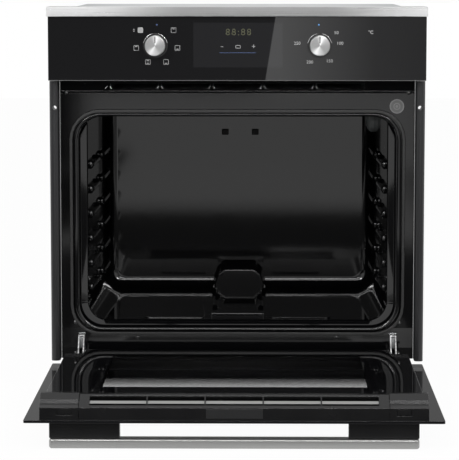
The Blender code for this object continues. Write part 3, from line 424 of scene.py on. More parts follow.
def softened(node, body, material, width=0.0005, segments=2, smooth=40, fold=25):
    """A copy of a CAD solid with its edges rounded, which stands for it."""
    bm = bmesh.new()
    bm.from_mesh(nodes[node].data)
    bmesh.ops.remove_doubles(bm, verts=bm.verts, dist=1e-6)
    bmesh.ops.dissolve_limit(bm, angle_limit=math.radians(0.5), verts=bm.verts, edges=bm.edges)
    folds = [edge for edge in bm.edges if edge.is_manifold and edge.calc_face_angle() > math.radians(fold)]
    round_over(bm, folds, width, segments, clamp=True)
    obj = piece("rounded_" + node, bm, body, material, smooth)
    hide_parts(node)
    return obj


frame_enamel = Finish("frame_enamel", (0.0018, 0.0018, 0.0021), 0.07, 0.0, IOR=1.52)
frame_enamel.set("Roughness", frame_enamel.between(frame_enamel.noise(22.0, 3.0), 0.055, 0.085))
_, _, frame_z = frame_enamel.axes()
CREASE_Z = 0.4415


def lean(low, high, depth):
    """The height of the enamel where the face leans back between two levels."""
    levels = {"From Min": low, "From Max": high, "To Min": 0.0, "To Max": -depth}
    return frame_enamel.node("ShaderNodeMapRange", inputs={"Value": frame_z, **levels})


groove = {"From Min": 0.0006, "From Max": 0.0022, "To Min": -0.0005, "To Max": 0.0}
crease = frame_enamel.node(
    "ShaderNodeMapRange",
    {"interpolation_type": "SMOOTHSTEP"},
    {"Value": (frame_z - CREASE_Z).abs(), **groove},
)
peel = frame_enamel.noise(110.0, 2.0) * 0.000008
frame_enamel.bump(lean(0.4400, 0.4700, 0.0075) + crease + lean(0.0300, 0.0620, 0.0022) + peel, 1.0)
softened("front_frame", "oven_body", frame_enamel.material, 0.0006)

screw_steel = Finish("screw_steel", (0.12, 0.12, 0.12), 0.30, 1.0)
screw_steel.set("Roughness", screw_steel.between(screw_steel.noise(300.0), 0.22, 0.38))
frame_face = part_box("front_frame")[0].y


def screws(name, body, spots, radius, face_y, material):
    """Domed screw heads standing on an upright face."""
    bm = bmesh.new()
    for x, z in spots:
        head = bmesh.ops.create_uvsphere(bm, u_segments=20, v_segments=12, radius=radius)["verts"]
        bmesh.ops.scale(bm, vec=(1.0, 0.45, 1.0), verts=head)
        bmesh.ops.translate(bm, vec=(x, face_y, z), verts=head)
    piece(name, bm, body, material)


SCREW_RADIUS = 0.0034
SCREW_PLACES = ((0.2605, 0.0705), (0.2730, 0.4405), (0.1600, 0.0464))
screw_spots = [(side * x, z) for x, z in SCREW_PLACES for side in (-1, 1)]
screws("frame_screws", "oven_body", screw_spots, SCREW_RADIUS, frame_face, screw_steel.material)

# Bent tabs between the air slots, each pair raised like a small roof.
SLOT_PITCH, TAB_APART, TAB_Z, TAB_LEAN, TAB_SIZE = 0.082, 0.0034, 0.4487, 42, (0.0009, 0.0016, 0.0058, 1.0)
bm = bmesh.new()
for divider in range(-2, 3):
    for side in (-1, 1):
        x = (divider - 0.5) * SLOT_PITCH + side * TAB_APART
        spot = Matrix.Translation((x, frame_face - 0.0006, TAB_Z))
        turn = Matrix.Rotation(math.radians(-side * TAB_LEAN), 4, "Y")
        bmesh.ops.create_cube(bm, size=1.0, matrix=spot @ turn @ Matrix.Diagonal(TAB_SIZE))
round_over(bm, bm.edges, 0.0003, 2)
tab_steel = Finish("tab_steel", (0.75, 0.75, 0.75), 0.25, 1.0)
tab_steel.set("Roughness", tab_steel.between(tab_steel.noise(120.0), 0.20, 0.32))
piece("outlet_tabs", bm, "oven_body", tab_steel.material)

# A plain round disc with two pressed rings sits at the frame's upper right.
DISC_X, DISC_Z, DISC_RADIUS, DISC_THICK = 0.2540, 0.4187, 0.0115, 0.0006
disc_grey = Finish("bare_disc", (0.10, 0.10, 0.10), 0.42)
reach = disc_grey.radius(DISC_X, DISC_Z)
rings = (reach > 0.0040) * (reach < 0.0056) + (reach < 0.0022) + (reach > 0.0098)
disc_mask = rings * 0.7 + disc_grey.noise(90.0) * 0.3
disc_grey.set("Base Color", disc_grey.tint(disc_mask, (0.055, 0.055, 0.055), (0.14, 0.14, 0.14)))
bm = bmesh.new()
facing = Matrix.Rotation(math.radians(90), 4, "X")
bmesh.ops.create_cone(
    bm,
    cap_ends=True,
    segments=64,
    radius1=DISC_RADIUS,
    radius2=DISC_RADIUS,
    depth=DISC_THICK,
    matrix=Matrix.Translation((DISC_X, frame_face - 0.0004, DISC_Z)) @ facing,
)
piece("round_disc", bm, "oven_body", disc_grey.material)

# ---------------------------------------------------------------------------------------------
# Cavity: one deep-drawn muffle in the same enamel, with a rolled lip at its mouth. Its corners are
# full and soft, and a hump over the rear of the floor runs forward as a low ridge.
# ---------------------------------------------------------------------------------------------
cavity_low, cavity_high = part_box("cavity")
lip_y = cavity_low.y
back_y = cavity_high.y - 0.001
MOUTH_HALF, MOUTH_LOW, MOUTH_HIGH, MOUTH_ROUND = 0.2525, 0.0638, 0.4026, 0.038
FLOOR_Z, CEILING_Z = 0.073, 0.422
FRONT_HALF, BACK_HALF, CAVITY_FRONT = 0.240, 0.233, -0.255
CORNER_ROUND, BACK_ROUND = 0.030, 0.016


def ring(bm, half, low, high, radius, y):
    """The edges of an upright rounded rectangle at this depth."""
    places = ((-half, y, low), (half, y, low), (half, y, high), (-half, y, high))
    corners = [bm.verts.new(place) for place in places]
    bm.faces.new(corners)
    bmesh.ops.bevel(bm, geom=corners, offset=radius, segments=10, profile=0.5, affect="VERTICES", material=-1)
    level = [face for face in bm.faces if all(abs(vert.co.y - y) < 1e-7 for vert in face.verts)][0]
    edges = list(level.edges)
    bmesh.ops.delete(bm, geom=[level], context="FACES_ONLY")
    return edges


bm = bmesh.new()
shell = [
    (MOUTH_HALF + 0.0175, MOUTH_LOW - 0.0153, MOUTH_HIGH + 0.0134, 0.049, frame_face + 0.0018),
    (MOUTH_HALF + 0.0090, MOUTH_LOW - 0.0068, MOUTH_HIGH + 0.0058, 0.0445, frame_face + 0.0018),
    (MOUTH_HALF + 0.0090, MOUTH_LOW - 0.0068, MOUTH_HIGH + 0.0058, 0.0445, lip_y + 0.0026),
    (MOUTH_HALF + 0.0083, MOUTH_LOW - 0.0062, MOUTH_HIGH + 0.0052, 0.0440, lip_y + 0.0009),
    (MOUTH_HALF + 0.0066, MOUTH_LOW - 0.0049, MOUTH_HIGH + 0.0041, 0.0425, lip_y),
    (MOUTH_HALF + 0.0030, MOUTH_LOW - 0.0022, MOUTH_HIGH + 0.0020, 0.0400, lip_y + 0.0002),
    (MOUTH_HALF + 0.0009, MOUTH_LOW - 0.0006, MOUTH_HIGH + 0.0006, 0.0385, lip_y + 0.0016),
    (MOUTH_HALF, MOUTH_LOW, MOUTH_HIGH, MOUTH_ROUND, lip_y + 0.0040),
    (MOUTH_HALF, MOUTH_LOW, MOUTH_HIGH, MOUTH_ROUND, frame_face + 0.0060),
    (MOUTH_HALF - 0.0018, MOUTH_LOW + 0.0016, MOUTH_HIGH + 0.0020, MOUTH_ROUND, frame_face + 0.0090),
    (FRONT_HALF + 0.0018, FLOOR_Z - 0.0016, CEILING_Z - 0.0040, 0.032, CAVITY_FRONT - 0.0040),
    (FRONT_HALF, FLOOR_Z, CEILING_Z, CORNER_ROUND, CAVITY_FRONT),
]
FILLET, FILLET_STEPS = 0.018, 8
for step in range(FILLET_STEPS + 1):
    turn = math.radians(90 * step / FILLET_STEPS)
    inward = FILLET * (1 - math.cos(turn))
    depth = back_y - FILLET + FILLET * math.sin(turn)
    radius = CORNER_ROUND - (CORNER_ROUND - BACK_ROUND) * step / FILLET_STEPS
    shell.append((BACK_HALF - inward, FLOOR_Z + inward, CEILING_Z - inward, radius, depth))
loops = [ring(bm, *sizes) for sizes in shell]
for near, far in zip(loops, loops[1:]):
    bmesh.ops.bridge_loops(bm, edges=near + far)
bmesh.ops.contextual_create(bm, geom=loops[-1])
bmesh.ops.recalc_face_normals(bm, faces=bm.faces)
back_plate = max(bm.faces, key=lambda face: face.calc_center_median().y)
if back_plate.normal.y > 0:
    bmesh.ops.reverse_faces(bm, faces=bm.faces)
muffle = piece("enamelled_muffle", bm, "oven_body", enamel.material, 60)
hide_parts("cavity")


def pressing(bm, corners, low, high, round_off, bend=0.006):
    """A raised area of the cavity floor, with its rim rounded over and its corners softened."""
    face = bm.faces.new([bm.verts.new((x, y, low)) for x, y in corners])
    raised = bmesh.ops.extrude_face_region(bm, geom=[face])["geom"]
    tops = [item for item in raised if isinstance(item, bmesh.types.BMVert)]
    bmesh.ops.translate(bm, vec=(0, 0, high - low), verts=tops)
    joined = {edge for vert in tops for edge in vert.link_edges}
    uprights = [edge for edge in joined if abs(edge.verts[0].co.z - edge.verts[1].co.z) > 1e-5]
    round_over(bm, uprights, bend, 6, clamp=True)
    lids = [f for f in bm.faces if all(abs(vert.co.z - high) < 1e-6 for vert in f.verts)]
    rim = {edge for lid in lids for edge in lid.edges}
    round_over(bm, rim, round_off, 5, clamp=True)


# Hump against the back wall: an arch that narrows and drops towards its front.
HUMP_FRONT = back_y - 0.022
arch = ((-0.050, 0.0725), (0.050, 0.0725), (0.040, 0.108), (0.027, 0.121), (-0.027, 0.121), (-0.040, 0.108))
bm = bmesh.new()
face = bm.faces.new([bm.verts.new((x, back_y + 0.0004, z)) for x, z in arch])
front_side = bmesh.ops.extrude_face_region(bm, geom=[face])["geom"]
moved = [item for item in front_side if isinstance(item, bmesh.types.BMVert)]
bmesh.ops.translate(bm, vec=(0, -0.0300, -FLOOR_Z), verts=moved)
bmesh.ops.scale(bm, vec=(0.94, 1.0, 0.72), verts=moved)
bmesh.ops.translate(bm, vec=(0, 0, FLOOR_Z), verts=moved)
bmesh.ops.recalc_face_normals(bm, faces=bm.faces)
folds = [edge for edge in bm.edges if edge.verts[0] in moved or edge.verts[1] in moved]
round_over(bm, folds, 0.0030, 6, clamp=True)
piece("rear_hump", bm, "oven_body", enamel.material, 60)

# Ridge along the middle of the floor, with its sides stepped in and out, and two shallow panels and a
# short rib on each side of it.
bm = bmesh.new()
ridge_side = (
    (0.047, HUMP_FRONT + 0.004),
    (0.047, 0.060),
    (0.040, 0.052),
    (0.040, -0.010),
    (0.032, -0.018),
    (0.032, -0.080),
    (0.042, -0.095),
    (0.042, -0.150),
    (0.034, -0.158),
    (0.034, -0.200),
    (0.044, -0.215),
    (0.044, -0.236),
)
outline = [(-x, y) for x, y in ridge_side] + [(x, y) for x, y in reversed(ridge_side)]
pressing(bm, outline, FLOOR_Z - 0.001, FLOOR_Z + 0.0080, 0.0022, 0.003)
for side in (-1, 1):
    raised = [(0.0600, -0.045), (0.1470, -0.045), (0.1510, -0.244), (0.0520, -0.244)]
    pressing(bm, [(side * x, y) for x, y in raised], FLOOR_Z - 0.001, FLOOR_Z + 0.0020, 0.0018, 0.012)
    rib = [(0.1540, 0.0070), (0.1540, 0.0140), (0.1930, 0.0140), (0.1930, 0.0070)]
    pressing(bm, [(side * x, y) for x, y in rib], FLOOR_Z - 0.001, FLOOR_Z + 0.0018, 0.0016, 0.003)
bmesh.ops.recalc_face_normals(bm, faces=bm.faces)
piece("floor_pressings", bm, "oven_body", enamel.material, 60)

# Shelf runners: short ribs pressed out of both side walls, six levels in two columns, each with a
# small dome at its ends.
RUNNER_LEVELS, RUNNER_LOWEST, RUNNER_PITCH = 6, 0.122, 0.040
RUNNER_SPANS = ((-0.232, -0.118), (-0.030, 0.084))
DOME_RADIUS = 0.0058
bm = bmesh.new()
slope = math.atan2(FRONT_HALF - BACK_HALF, back_y - FILLET - CAVITY_FRONT)


def wall_at(y):
    """Half the cavity's width at this depth."""
    return FRONT_HALF - math.tan(slope) * (y - CAVITY_FRONT)


for level in range(RUNNER_LEVELS):
    for start, end in RUNNER_SPANS:
        middle = (start + end) / 2
        for side in (-1, 1):
            x = side * (wall_at(middle) - 0.0036)
            spot = Matrix.Translation((x, middle, RUNNER_LOWEST + RUNNER_PITCH * level))
            turn = Matrix.Rotation(side * slope, 4, "Z")
            size = Matrix.Diagonal((0.0090, end - start, 0.007, 1.0))
            bmesh.ops.create_cube(bm, size=1.0, matrix=spot @ turn @ size)
round_over(bm, bm.edges, 0.0026, 4, clamp=True)
for level in range(RUNNER_LEVELS):
    for end in [y for span in RUNNER_SPANS for y in span]:
        for side in (-1, 1):
            dome = bmesh.ops.create_uvsphere(bm, u_segments=16, v_segments=10, radius=DOME_RADIUS)["verts"]
            bmesh.ops.scale(bm, vec=(0.9, 1.0, 1.25), verts=dome)
            x = side * (wall_at(end) - 0.002)
            bmesh.ops.translate(bm, vec=(x, end, RUNNER_LOWEST + RUNNER_PITCH * level), verts=dome)
piece("shelf_ribs", bm, "oven_body", enamel.material, 60)

# Two small clips hang on the back wall under the grill element.
clip_steel = Finish("dark_clip_steel", (0.02, 0.02, 0.02), 0.4, 1.0)
clip_steel.set("Roughness", clip_steel.between(clip_steel.noise(80.0), 0.32, 0.5))
bm = bmesh.new()
for x in (-0.025, 0.028):
    spot = Matrix.Translation((x, back_y - 0.003, 0.349))
    bmesh.ops.create_cube(bm, size=1.0, matrix=spot @ Matrix.Diagonal((0.012, 0.007, 0.010, 1.0)))
round_over(bm, bm.edges, 0.0015, 3)
piece("rear_clips", bm, "oven_body", clip_steel.material)

# ---------------------------------------------------------------------------------------------
# Door seal: a hollow silicone cord round the cavity's mouth, matt, with a slight bloom. It faces the
# inner glass when the door is closed.
# ---------------------------------------------------------------------------------------------
silicone = Finish("silicone_seal", (0.012, 0.012, 0.012), 0.45)
silicone.bump(silicone.noise(500.0, 3.0), 0.0001, 0.6)
softened("cavity_gasket", "oven_body", silicone.material, 0.0012, 3)

# ---------------------------------------------------------------------------------------------
# Heating rods and lamp: bent rods in steel sheaths, oxidised grey-brown. The lamp has a ribbed glass
# cap over its bulb and a ceramic holder behind it.
# ---------------------------------------------------------------------------------------------
rod_steel = Finish("oxidised_rod", (0.09, 0.08, 0.075), 0.42, 1.0)
tarnish = rod_steel.noise(25.0, 4.0)
rod_steel.set("Base Color", rod_steel.tint(tarnish, (0.07, 0.062, 0.055), (0.17, 0.16, 0.155)))
rod_steel.bump(rod_steel.noise(400.0), 0.0001, 0.4)
dress(rod_steel.material, "grill_element", "bottom_element")

lamp_cap = Finish("lamp_cap_glass", (0.16, 0.17, 0.17), 0.12, 0.0)
lamp_cap.bump(lamp_cap.noise(160.0, 2.0), 0.0008, 0.8)
softened("lamp_glass", "oven_body", lamp_cap.material, 0.001, 3)
ceramic = Finish("lamp_ceramic", (0.66, 0.64, 0.60), 0.5)
ceramic.set("Base Color", ceramic.tint(ceramic.noise(80.0), (0.60, 0.58, 0.54), (0.72, 0.70, 0.66)))
dress(ceramic.material, "lamp_holder")

# ---------------------------------------------------------------------------------------------
# Side trims: folded steel with black powder paint, one at each side of the front frame. Each has a
# hole near its top for the screw that fixes the oven to the cabinet.
# ---------------------------------------------------------------------------------------------
for side in ("left", "right"):
    softened("side_trim_" + side, "oven_body", satin_black.material, 0.0003, 2)

# ---------------------------------------------------------------------------------------------
# Control glass: 4 mm black-backed float glass with ground edges. A smoked window in it holds the clock,
# which is drawn on a plate so thin that it lies in the print.
# ---------------------------------------------------------------------------------------------
black_glass = Finish("black_glass", (0.0040, 0.0040, 0.0045), 0.03, 0.0, IOR=1.52)
black_glass.set("Roughness", black_glass.between(black_glass.noise(6.0, 3.0), 0.004, 0.012))
softened("control_glass", "oven_body", black_glass.material, 0.0006)
glass_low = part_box("control_glass")[0]
print_y = glass_low.y - 0.00012
LAYER = 0.0001

window_black = Finish("smoked_window", (0.010, 0.010, 0.011), 0.04, 0.0, IOR=1.52)
window_black.set("Roughness", window_black.between(window_black.noise(9.0), 0.006, 0.014))


def label(name, width, height, x, z, material, y=print_y, round_off=0.0):
    """A thin flat printed area on the glass."""
    bm = bmesh.new()
    flat = Matrix.Translation((x, y, z)) @ Matrix.Rotation(math.radians(90), 4, "X")
    size = Matrix.Diagonal((width, height, 1, 1))
    bmesh.ops.create_grid(bm, x_segments=1, y_segments=1, size=0.5, matrix=flat @ size)
    if round_off:
        bmesh.ops.bevel(
            bm, geom=list(bm.verts), offset=round_off, segments=6, profile=0.5, affect="VERTICES", material=-1
        )
    bmesh.ops.solidify(bm, geom=list(bm.faces), thickness=-0.00010)
    bmesh.ops.recalc_face_normals(bm, faces=bm.faces)
    return piece(name, bm, "oven_body", material, 0)


label("clock_window", 0.1400, 0.0700, 0.0014, 0.5175, window_black.material, print_y + 0.00002, 0.001)

blue_line = Finish("blue_print", (0.010, 0.016, 0.045), 0.15)
blue_line.set("Base Color", blue_line.tint(blue_line.noise(60.0), (0.045, 0.07, 0.15), (0.06, 0.09, 0.19)))
label("clock_line", 0.0570, 0.0008, 0.0010, 0.5055, blue_line.material, print_y - 2 * LAYER)

edge_grey = Finish("ground_edge", (0.09, 0.09, 0.09), 0.35)
edge_grey.set("Base Color", edge_grey.tint(edge_grey.noise(50.0), (0.075, 0.075, 0.075), (0.10, 0.10, 0.10)))
label("ground_edge_line", 0.5930, 0.0009, 0.0, glass_low.z + 0.0005, edge_grey.material, print_y + 0.00002)

# ---------------------------------------------------------------------------------------------
# Printing on the glass: white enamel ink for the numbers and the cooking signs, and dim segments
# in the clock. Every sign is flat and lies just proud of the glass.
# ---------------------------------------------------------------------------------------------
white_ink = Finish("white_ink", (0.55, 0.55, 0.55), 0.5)
white_ink.set("Base Color", white_ink.tint(white_ink.noise(300.0), (0.42, 0.42, 0.42), (0.54, 0.54, 0.54)))
grey_ink = Finish("grey_ink", (0.25, 0.25, 0.25), 0.5)
grey_ink.set("Base Color", grey_ink.tint(grey_ink.noise(300.0), (0.22, 0.22, 0.22), (0.30, 0.30, 0.30)))
olive_ink = Finish("dim_segments", (0.05, 0.05, 0.028), 0.4)
olive_grain = olive_ink.noise(200.0)
olive_ink.set("Base Color", olive_ink.tint(olive_grain, (0.036, 0.038, 0.014), (0.052, 0.052, 0.020)))


def words(name, text, height, x, z, material, spacing=1.0, thicken=0.0):
    """Flat lettering centred on a point of the control glass."""
    curve = bpy.data.curves.new(name, "FONT")
    curve.body = text
    curve.size = height / 0.7
    curve.align_x = "CENTER"
    curve.align_y = "CENTER"
    curve.space_character = spacing
    curve.offset = thicken
    holder = bpy.data.objects.new(name + "_curve", curve)
    scene.collection.objects.link(holder)
    bpy.context.view_layer.update()
    mesh = bpy.data.meshes.new_from_object(holder.evaluated_get(bpy.context.evaluated_depsgraph_get()))
    bpy.data.objects.remove(holder)
    upright = Matrix.Rotation(math.radians(90), 4, "X")
    mesh.transform(Matrix.Translation((x, print_y - 2 * LAYER, z)) @ upright)
    bm = bmesh.new()
    bm.from_mesh(mesh)
    return piece(name, bm, "oven_body", material, 0)


left_low, left_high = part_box("knob_left")
right_low, right_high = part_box("knob_right")
knob_z = (left_low.z + left_high.z) / 2
left_x = (left_low.x + left_high.x) / 2
right_x = (right_low.x + right_high.x) / 2
words("clock_digits", "88:88", 0.0102, 0.0022, 0.5374, olive_ink.material, 1.28)
label("clock_minus", 0.0044, 0.0007, -0.0237, 0.5150, grey_ink.material, print_y - LAYER)
words("clock_plus", "+", 0.0080, 0.0259, 0.5150, grey_ink.material)
BUTTON_X, BUTTON_Z = 0.0015, 0.5148
label("clock_button", 0.0080, 0.0050, BUTTON_X, BUTTON_Z, grey_ink.material, print_y - LAYER, 0.001)
inside_y = print_y - 2 * LAYER
label("clock_button_inside", 0.0062, 0.0032, BUTTON_X, BUTTON_Z, black_glass.material, inside_y, 0.0006)
for text, x, z in (
    ("50", 0.0262, 0.0200),
    ("100", 0.0318, 0.0034),
    ("150", 0.0155, -0.0242),
    ("200", -0.0153, -0.0260),
    ("250", -0.0352, 0.0034),
):
    words("number_" + text, text, 0.0048, right_x + x, knob_z + z, white_ink.material, 1.05, -0.00006)
words("degrees", "°C", 0.0052, right_x + 0.0800, knob_z + 0.0205, white_ink.material)
bright_blue = Finish("bright_blue_print", (0.06, 0.22, 0.50), 0.3)
blue_grain = bright_blue.noise(200.0)
bright_blue.set("Base Color", bright_blue.tint(blue_grain, (0.05, 0.20, 0.46), (0.08, 0.26, 0.56)))
for x, sign, ink in ((left_x + 0.0022, "left", blue_line), (right_x - 0.0015, "right", bright_blue)):
    label("mark_" + sign, 0.0026, 0.0026, x, knob_z + 0.0325, ink.material, print_y - LAYER, 0.0012)

icon_spots = [
    (0.0285, 0.0240, "lamp"),
    (0.0345, -0.0038, "fan"),
    (0.0165, -0.0258, "base"),
    (-0.0120, -0.0258, "both"),
    (-0.0302, -0.0038, "grill"),
    (-0.0236, 0.0240, "thaw"),
]
for dx, dz, sign in icon_spots:
    x, z = left_x + dx, knob_z + dz
    label("sign_" + sign, 0.0080, 0.0080, x, z, white_ink.material, print_y - LAYER, 0.0012)
    ground = grey_ink if sign == "thaw" else black_glass
    label("sign_ground_" + sign, 0.0071, 0.0071, x, z, ground.material, print_y - 2 * LAYER, 0.0008)
    if sign in ("base", "both", "fan"):
        label("sign_low_" + sign, 0.0040, 0.0007, x, z - 0.0020, white_ink.material, print_y - 3 * LAYER)
    if sign in ("grill", "both", "lamp"):
        label("sign_high_" + sign, 0.0040, 0.0007, x, z + 0.0020, white_ink.material, print_y - 3 * LAYER)
    if sign in ("fan", "grill", "both", "thaw"):
        words("sign_mark_" + sign, "x", 0.0030, x, z, white_ink.material)
for row, rise in (("high", 0.0014), ("low", -0.0014)):
    words("sign_pair_" + row, "xx", 0.0020, left_x - 0.0340, knob_z + 0.0240 + rise, white_ink.material)

# ---------------------------------------------------------------------------------------------
# Knobs: turned aluminium caps on black collars, spun-brushed in rings. The wedges of light that such a
# finish shows are tints here, and so are the bright arcs at the collar's upper rim. The pointer is black.
# ---------------------------------------------------------------------------------------------


def spun_metal(name, centre_x):
    """Ring-brushed aluminium, centred on one knob."""
    metal = Finish(name, (0.6, 0.6, 0.6), 0.3, 1.0)
    x, _, z = metal.axes()
    angle = metal.node("ShaderNodeMath", {"operation": "ARCTAN2"}, {0: z - knob_z, 1: x - centre_x})
    swing = metal.node("ShaderNodeMath", {"operation": "SINE"}, {0: angle * 2.0 - 0.9})
    narrow = metal.node("ShaderNodeMath", {"operation": "SINE"}, {0: angle * 5.0 + 0.6})
    wedge = (swing * 0.42 + narrow * 0.08 + 0.5) ** 3.0
    radius = metal.radius(centre_x, knob_z)
    rings = metal.node("ShaderNodeTexNoise", {"noise_dimensions": "1D"}, {"W": radius, "Scale": 4200.0})
    metal.set("Base Color", metal.tint(wedge, (0.34, 0.34, 0.34), (0.98, 0.98, 0.98)))
    metal.set("Roughness", metal.between(rings, 0.26, 0.42))
    metal.bump(rings, 0.00002, 0.4)
    return metal


def collar_painted_arcs(name, centre_x, rim):
    """Black plastic with a painted highlight: its rim is made bright metal only at its upper left and upper
    right, centred on one knob.
    """
    plate = Finish(name, (0.012, 0.012, 0.012), 0.22)
    x, _, z = plate.axes()
    # Painted highlight: only the rim's upper left and upper right become bright metal.
    lit = (z > knob_z + 0.004) * ((x - centre_x).abs() > 0.0045)
    edge = (plate.radius(centre_x, knob_z) > rim - 0.0009) * lit
    plate.set("Metallic", edge)
    plate.set("Base Color", plate.tint(edge, (0.010, 0.010, 0.010), (0.55, 0.55, 0.55)))
    plate.set("Roughness", plate.between(plate.noise(90.0), 0.18, 0.26))
    return plate


pointer_black = Finish("pointer_black", (0.006, 0.006, 0.006), 0.5)
pointer_black.set("Roughness", pointer_black.between(pointer_black.noise(100.0), 0.4, 0.6))
POINTER_RISE, POINTER_SIZE = 0.0093, (0.0014, 0.0006, 0.0100, 1.0)
for side, x, body in (("left", left_x, "function_knob"), ("right", right_x, "temperature_knob")):
    metal = spun_metal("spun_metal_" + side, x)
    front_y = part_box("knob_" + side)[0].y
    softened("knob_" + side, body, metal.material, 0.0007, 3)
    bm = bmesh.new()
    spot = Matrix.Translation((x, front_y + 0.0001, knob_z + POINTER_RISE))
    bmesh.ops.create_cube(bm, size=1.0, matrix=spot @ Matrix.Diagonal(POINTER_SIZE))
    round_over(bm, bm.edges, 0.00015, 2)
    piece("pointer_" + side, bm, body, pointer_black.material)
    collar_low, collar_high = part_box("knob_collar_" + side)
    collar_finish = collar_painted_arcs("black_chrome_" + side, x, (collar_high.x - collar_low.x) / 2)
    softened("knob_collar_" + side, "oven_body", collar_finish.material, 0.0012, 4)

# The shafts behind the knobs are zinc-plated steel, as the small parts of the hinges are.
zinc = Finish("zinc_plate", (0.62, 0.63, 0.64), 0.30, 1.0)
zinc.set("Base Color", zinc.tint(zinc.noise(120.0, 4.0), (0.55, 0.56, 0.57), (0.72, 0.73, 0.74)))
zinc.set("Roughness", zinc.between(zinc.noise(60.0, 3.0), 0.22, 0.38))
dress(zinc.material, "knob_shaft_left", "knob_shaft_right", "hinge_receptacle_left", "hinge_receptacle_right")

# ---------------------------------------------------------------------------------------------
# Top strip and handle bar: stainless steel, brushed along its length. The strip caps the control glass
# and a painted reflection makes it lighter to its ends, and the bar stands on two black posts.
# ---------------------------------------------------------------------------------------------
brushed = Finish("brushed_steel", (0.62, 0.62, 0.61), 0.34, 1.0)
grain = brushed.noise(180.0, 4.0, (0.02, 1.0, 8.0), 0.6)
brushed.set("Base Color", brushed.tint(grain, (0.27, 0.27, 0.265), (0.40, 0.40, 0.395)))
brushed.set("Roughness", brushed.between(grain, 0.28, 0.42))
brushed.bump(grain, 0.00003, 0.4)
softened("handle_bar", "door", brushed.material, 0.0014, 4)

strip_steel = Finish("strip_steel", (0.6, 0.6, 0.6), 0.28, 1.0)
strip_x, _, _ = strip_steel.axes()
# Painted reflection: the strip's colour grows lighter towards both of its ends.
ends = strip_steel.node(
    "ShaderNodeMapRange",
    {"interpolation_type": "SMOOTHSTEP"},
    {"Value": (strip_x - 0.03).abs(), "From Min": 0.10, "From Max": 0.30},
)
fine = strip_steel.noise(180.0, 4.0, (0.02, 1.0, 8.0), 0.6)
painted_end_sheen = ends * 0.85 + fine * 0.15
strip_steel.set("Base Color", strip_steel.tint(painted_end_sheen, (0.28, 0.28, 0.28), (0.82, 0.82, 0.82)))
strip_steel.set("Roughness", strip_steel.between(fine, 0.24, 0.34))
softened("top_strip", "oven_body", strip_steel.material, 0.0004)

# ---------------------------------------------------------------------------------------------
# Door: three sheets of glass on steel rails, lying open. The inner sheet has a black enamelled border
# round a clear window, and the outer one is black-backed.
# ---------------------------------------------------------------------------------------------
CLEAR_TO = 0.8


def bordered_glass(name, half, near, far, clear, shadow_fade=None):
    """Black-printed glass whose window is clear inside these limits; a painted shadow may darken the window
    towards its far end.
    """
    glass = Finish(name, (0.0035, 0.0035, 0.004), 0.03, 0.0, IOR=1.52)
    glass.set("Roughness", glass.between(glass.noise(8.0, 3.0), 0.010, 0.022))
    x, y, _ = glass.axes()
    inside = (x.abs() < half) * (y > near) * (y < far)
    if shadow_fade:
        span = {"From Min": shadow_fade[0], "From Max": shadow_fade[1], "To Min": clear, "To Max": CLEAR_TO}
        clear = glass.node("ShaderNodeMapRange", inputs={"Value": y, **span})
    glass.set("Alpha", glass.between(inside, 1.0, clear))
    return glass.material


inner_bordered = bordered_glass("inner_bordered_glass", 0.192, -0.6725, -0.400, 0.14)
# The outer window grows darker towards its hinge end: a painted shadow of the oven on the floor below.
outer_bordered = bordered_glass("outer_bordered_glass", 0.206, -0.668, -0.398, 0.18, (-0.490, -0.405))
softened("inner_glass", "door", inner_bordered, 0.0005)
softened("outer_glass", "door", outer_bordered, 0.0005)
dress(bordered_glass("middle_clear_glass", 0.300, -0.730, -0.330, 0.12), "middle_glass")

for node in ("door_rail_left", "door_rail_right", "door_bottom_rail"):
    softened(node, "door", satin_black.material, 0.0004)

trim_black = Finish("moulded_trim", (0.0030, 0.0030, 0.0033), 0.26)
trim_black.bump(trim_black.noise(800.0, 2.0), 0.00005, 0.5)
trim_black.set("Roughness", trim_black.between(trim_black.noise(30.0), 0.20, 0.30))
softened("door_top_trim", "door", trim_black.material, 0.0008, 3)
for side in ("left", "right"):
    softened("trim_clip_" + side, "door", trim_black.material, 0.0012, 3)
    softened("trim_button_" + side, "release_button_" + side, trim_black.material, 0.0005, 2)
    softened("handle_post_" + side, "door", trim_black.material, 0.0010, 3)

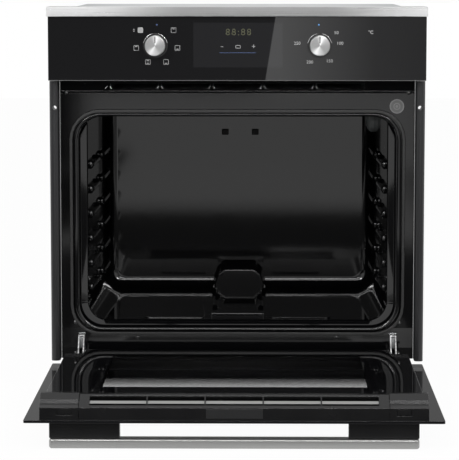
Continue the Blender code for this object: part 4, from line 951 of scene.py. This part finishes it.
# A bright steel strip behind the vent slots is painted light, standing in for the light that shows through
# them; a plain plate is set in the trim's face.
bm = bmesh.new()
along_slope = Matrix.Translation((0.0, -0.7420, 0.0286)) @ Matrix.Rotation(math.atan2(0.0156, 0.0220), 4, "X")
bmesh.ops.create_cube(bm, size=1.0, matrix=along_slope @ Matrix.Diagonal((0.412, 0.0056, 0.0005, 1.0)))
round_over(bm, bm.edges, 0.0001, 1)
piece("slot_light_stand_in", bm, "door", brushed.material)
bm = bmesh.new()
trim_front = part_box("door_top_trim")[0].y
spot = Matrix.Translation((0.0006, trim_front, 0.0150)) @ Matrix.Diagonal((0.0800, 0.0010, 0.0135, 1.0))
bmesh.ops.create_cube(bm, size=1.0, matrix=spot)
round_over(bm, bm.edges, 0.0004, 3)
plate_black = Finish("plate_plastic", (0.010, 0.010, 0.0105), 0.34)
plate_black.set("Roughness", plate_black.between(plate_black.noise(30.0), 0.30, 0.38))
piece("trim_face_plate", bm, "door", plate_black.material)

# ---------------------------------------------------------------------------------------------
# Hinges: zinc-plated pressed steel whose colour is broken by dark and bright blotches, painted reflections,
# each arm hooked into its slot in the front frame.
# ---------------------------------------------------------------------------------------------
hinge_zinc = Finish("hinge_zinc", (0.5, 0.5, 0.5), 0.25, 1.0)
blotch = hinge_zinc.noise(150.0, 3.0, rough=0.7)
# Painted reflection: the blotch noise turns the colour dark and bright in patches.
painted_reflection_blotches = hinge_zinc.between(blotch * 2.2 - 0.6, 0.0, 1.0)
hinge_zinc.set("Base Color", hinge_zinc.tint(painted_reflection_blotches, (0.06, 0.06, 0.06), (0.90, 0.90, 0.90)))
hinge_zinc.set("Roughness", hinge_zinc.between(blotch, 0.16, 0.34))
hinge_zinc.bump(blotch, 0.0006, 0.6)
for side in ("left", "right"):
    softened("hinge_arm_" + side, "oven_body", hinge_zinc.material, 0.0004)
    softened("hinge_case_" + side, "door", hinge_zinc.material, 0.0004)
    softened("hinge_lock_" + side, "lock_lever_" + side, zinc.material, 0.0003)
dress(zinc.material, "hinge_pin_left", "hinge_pin_right")
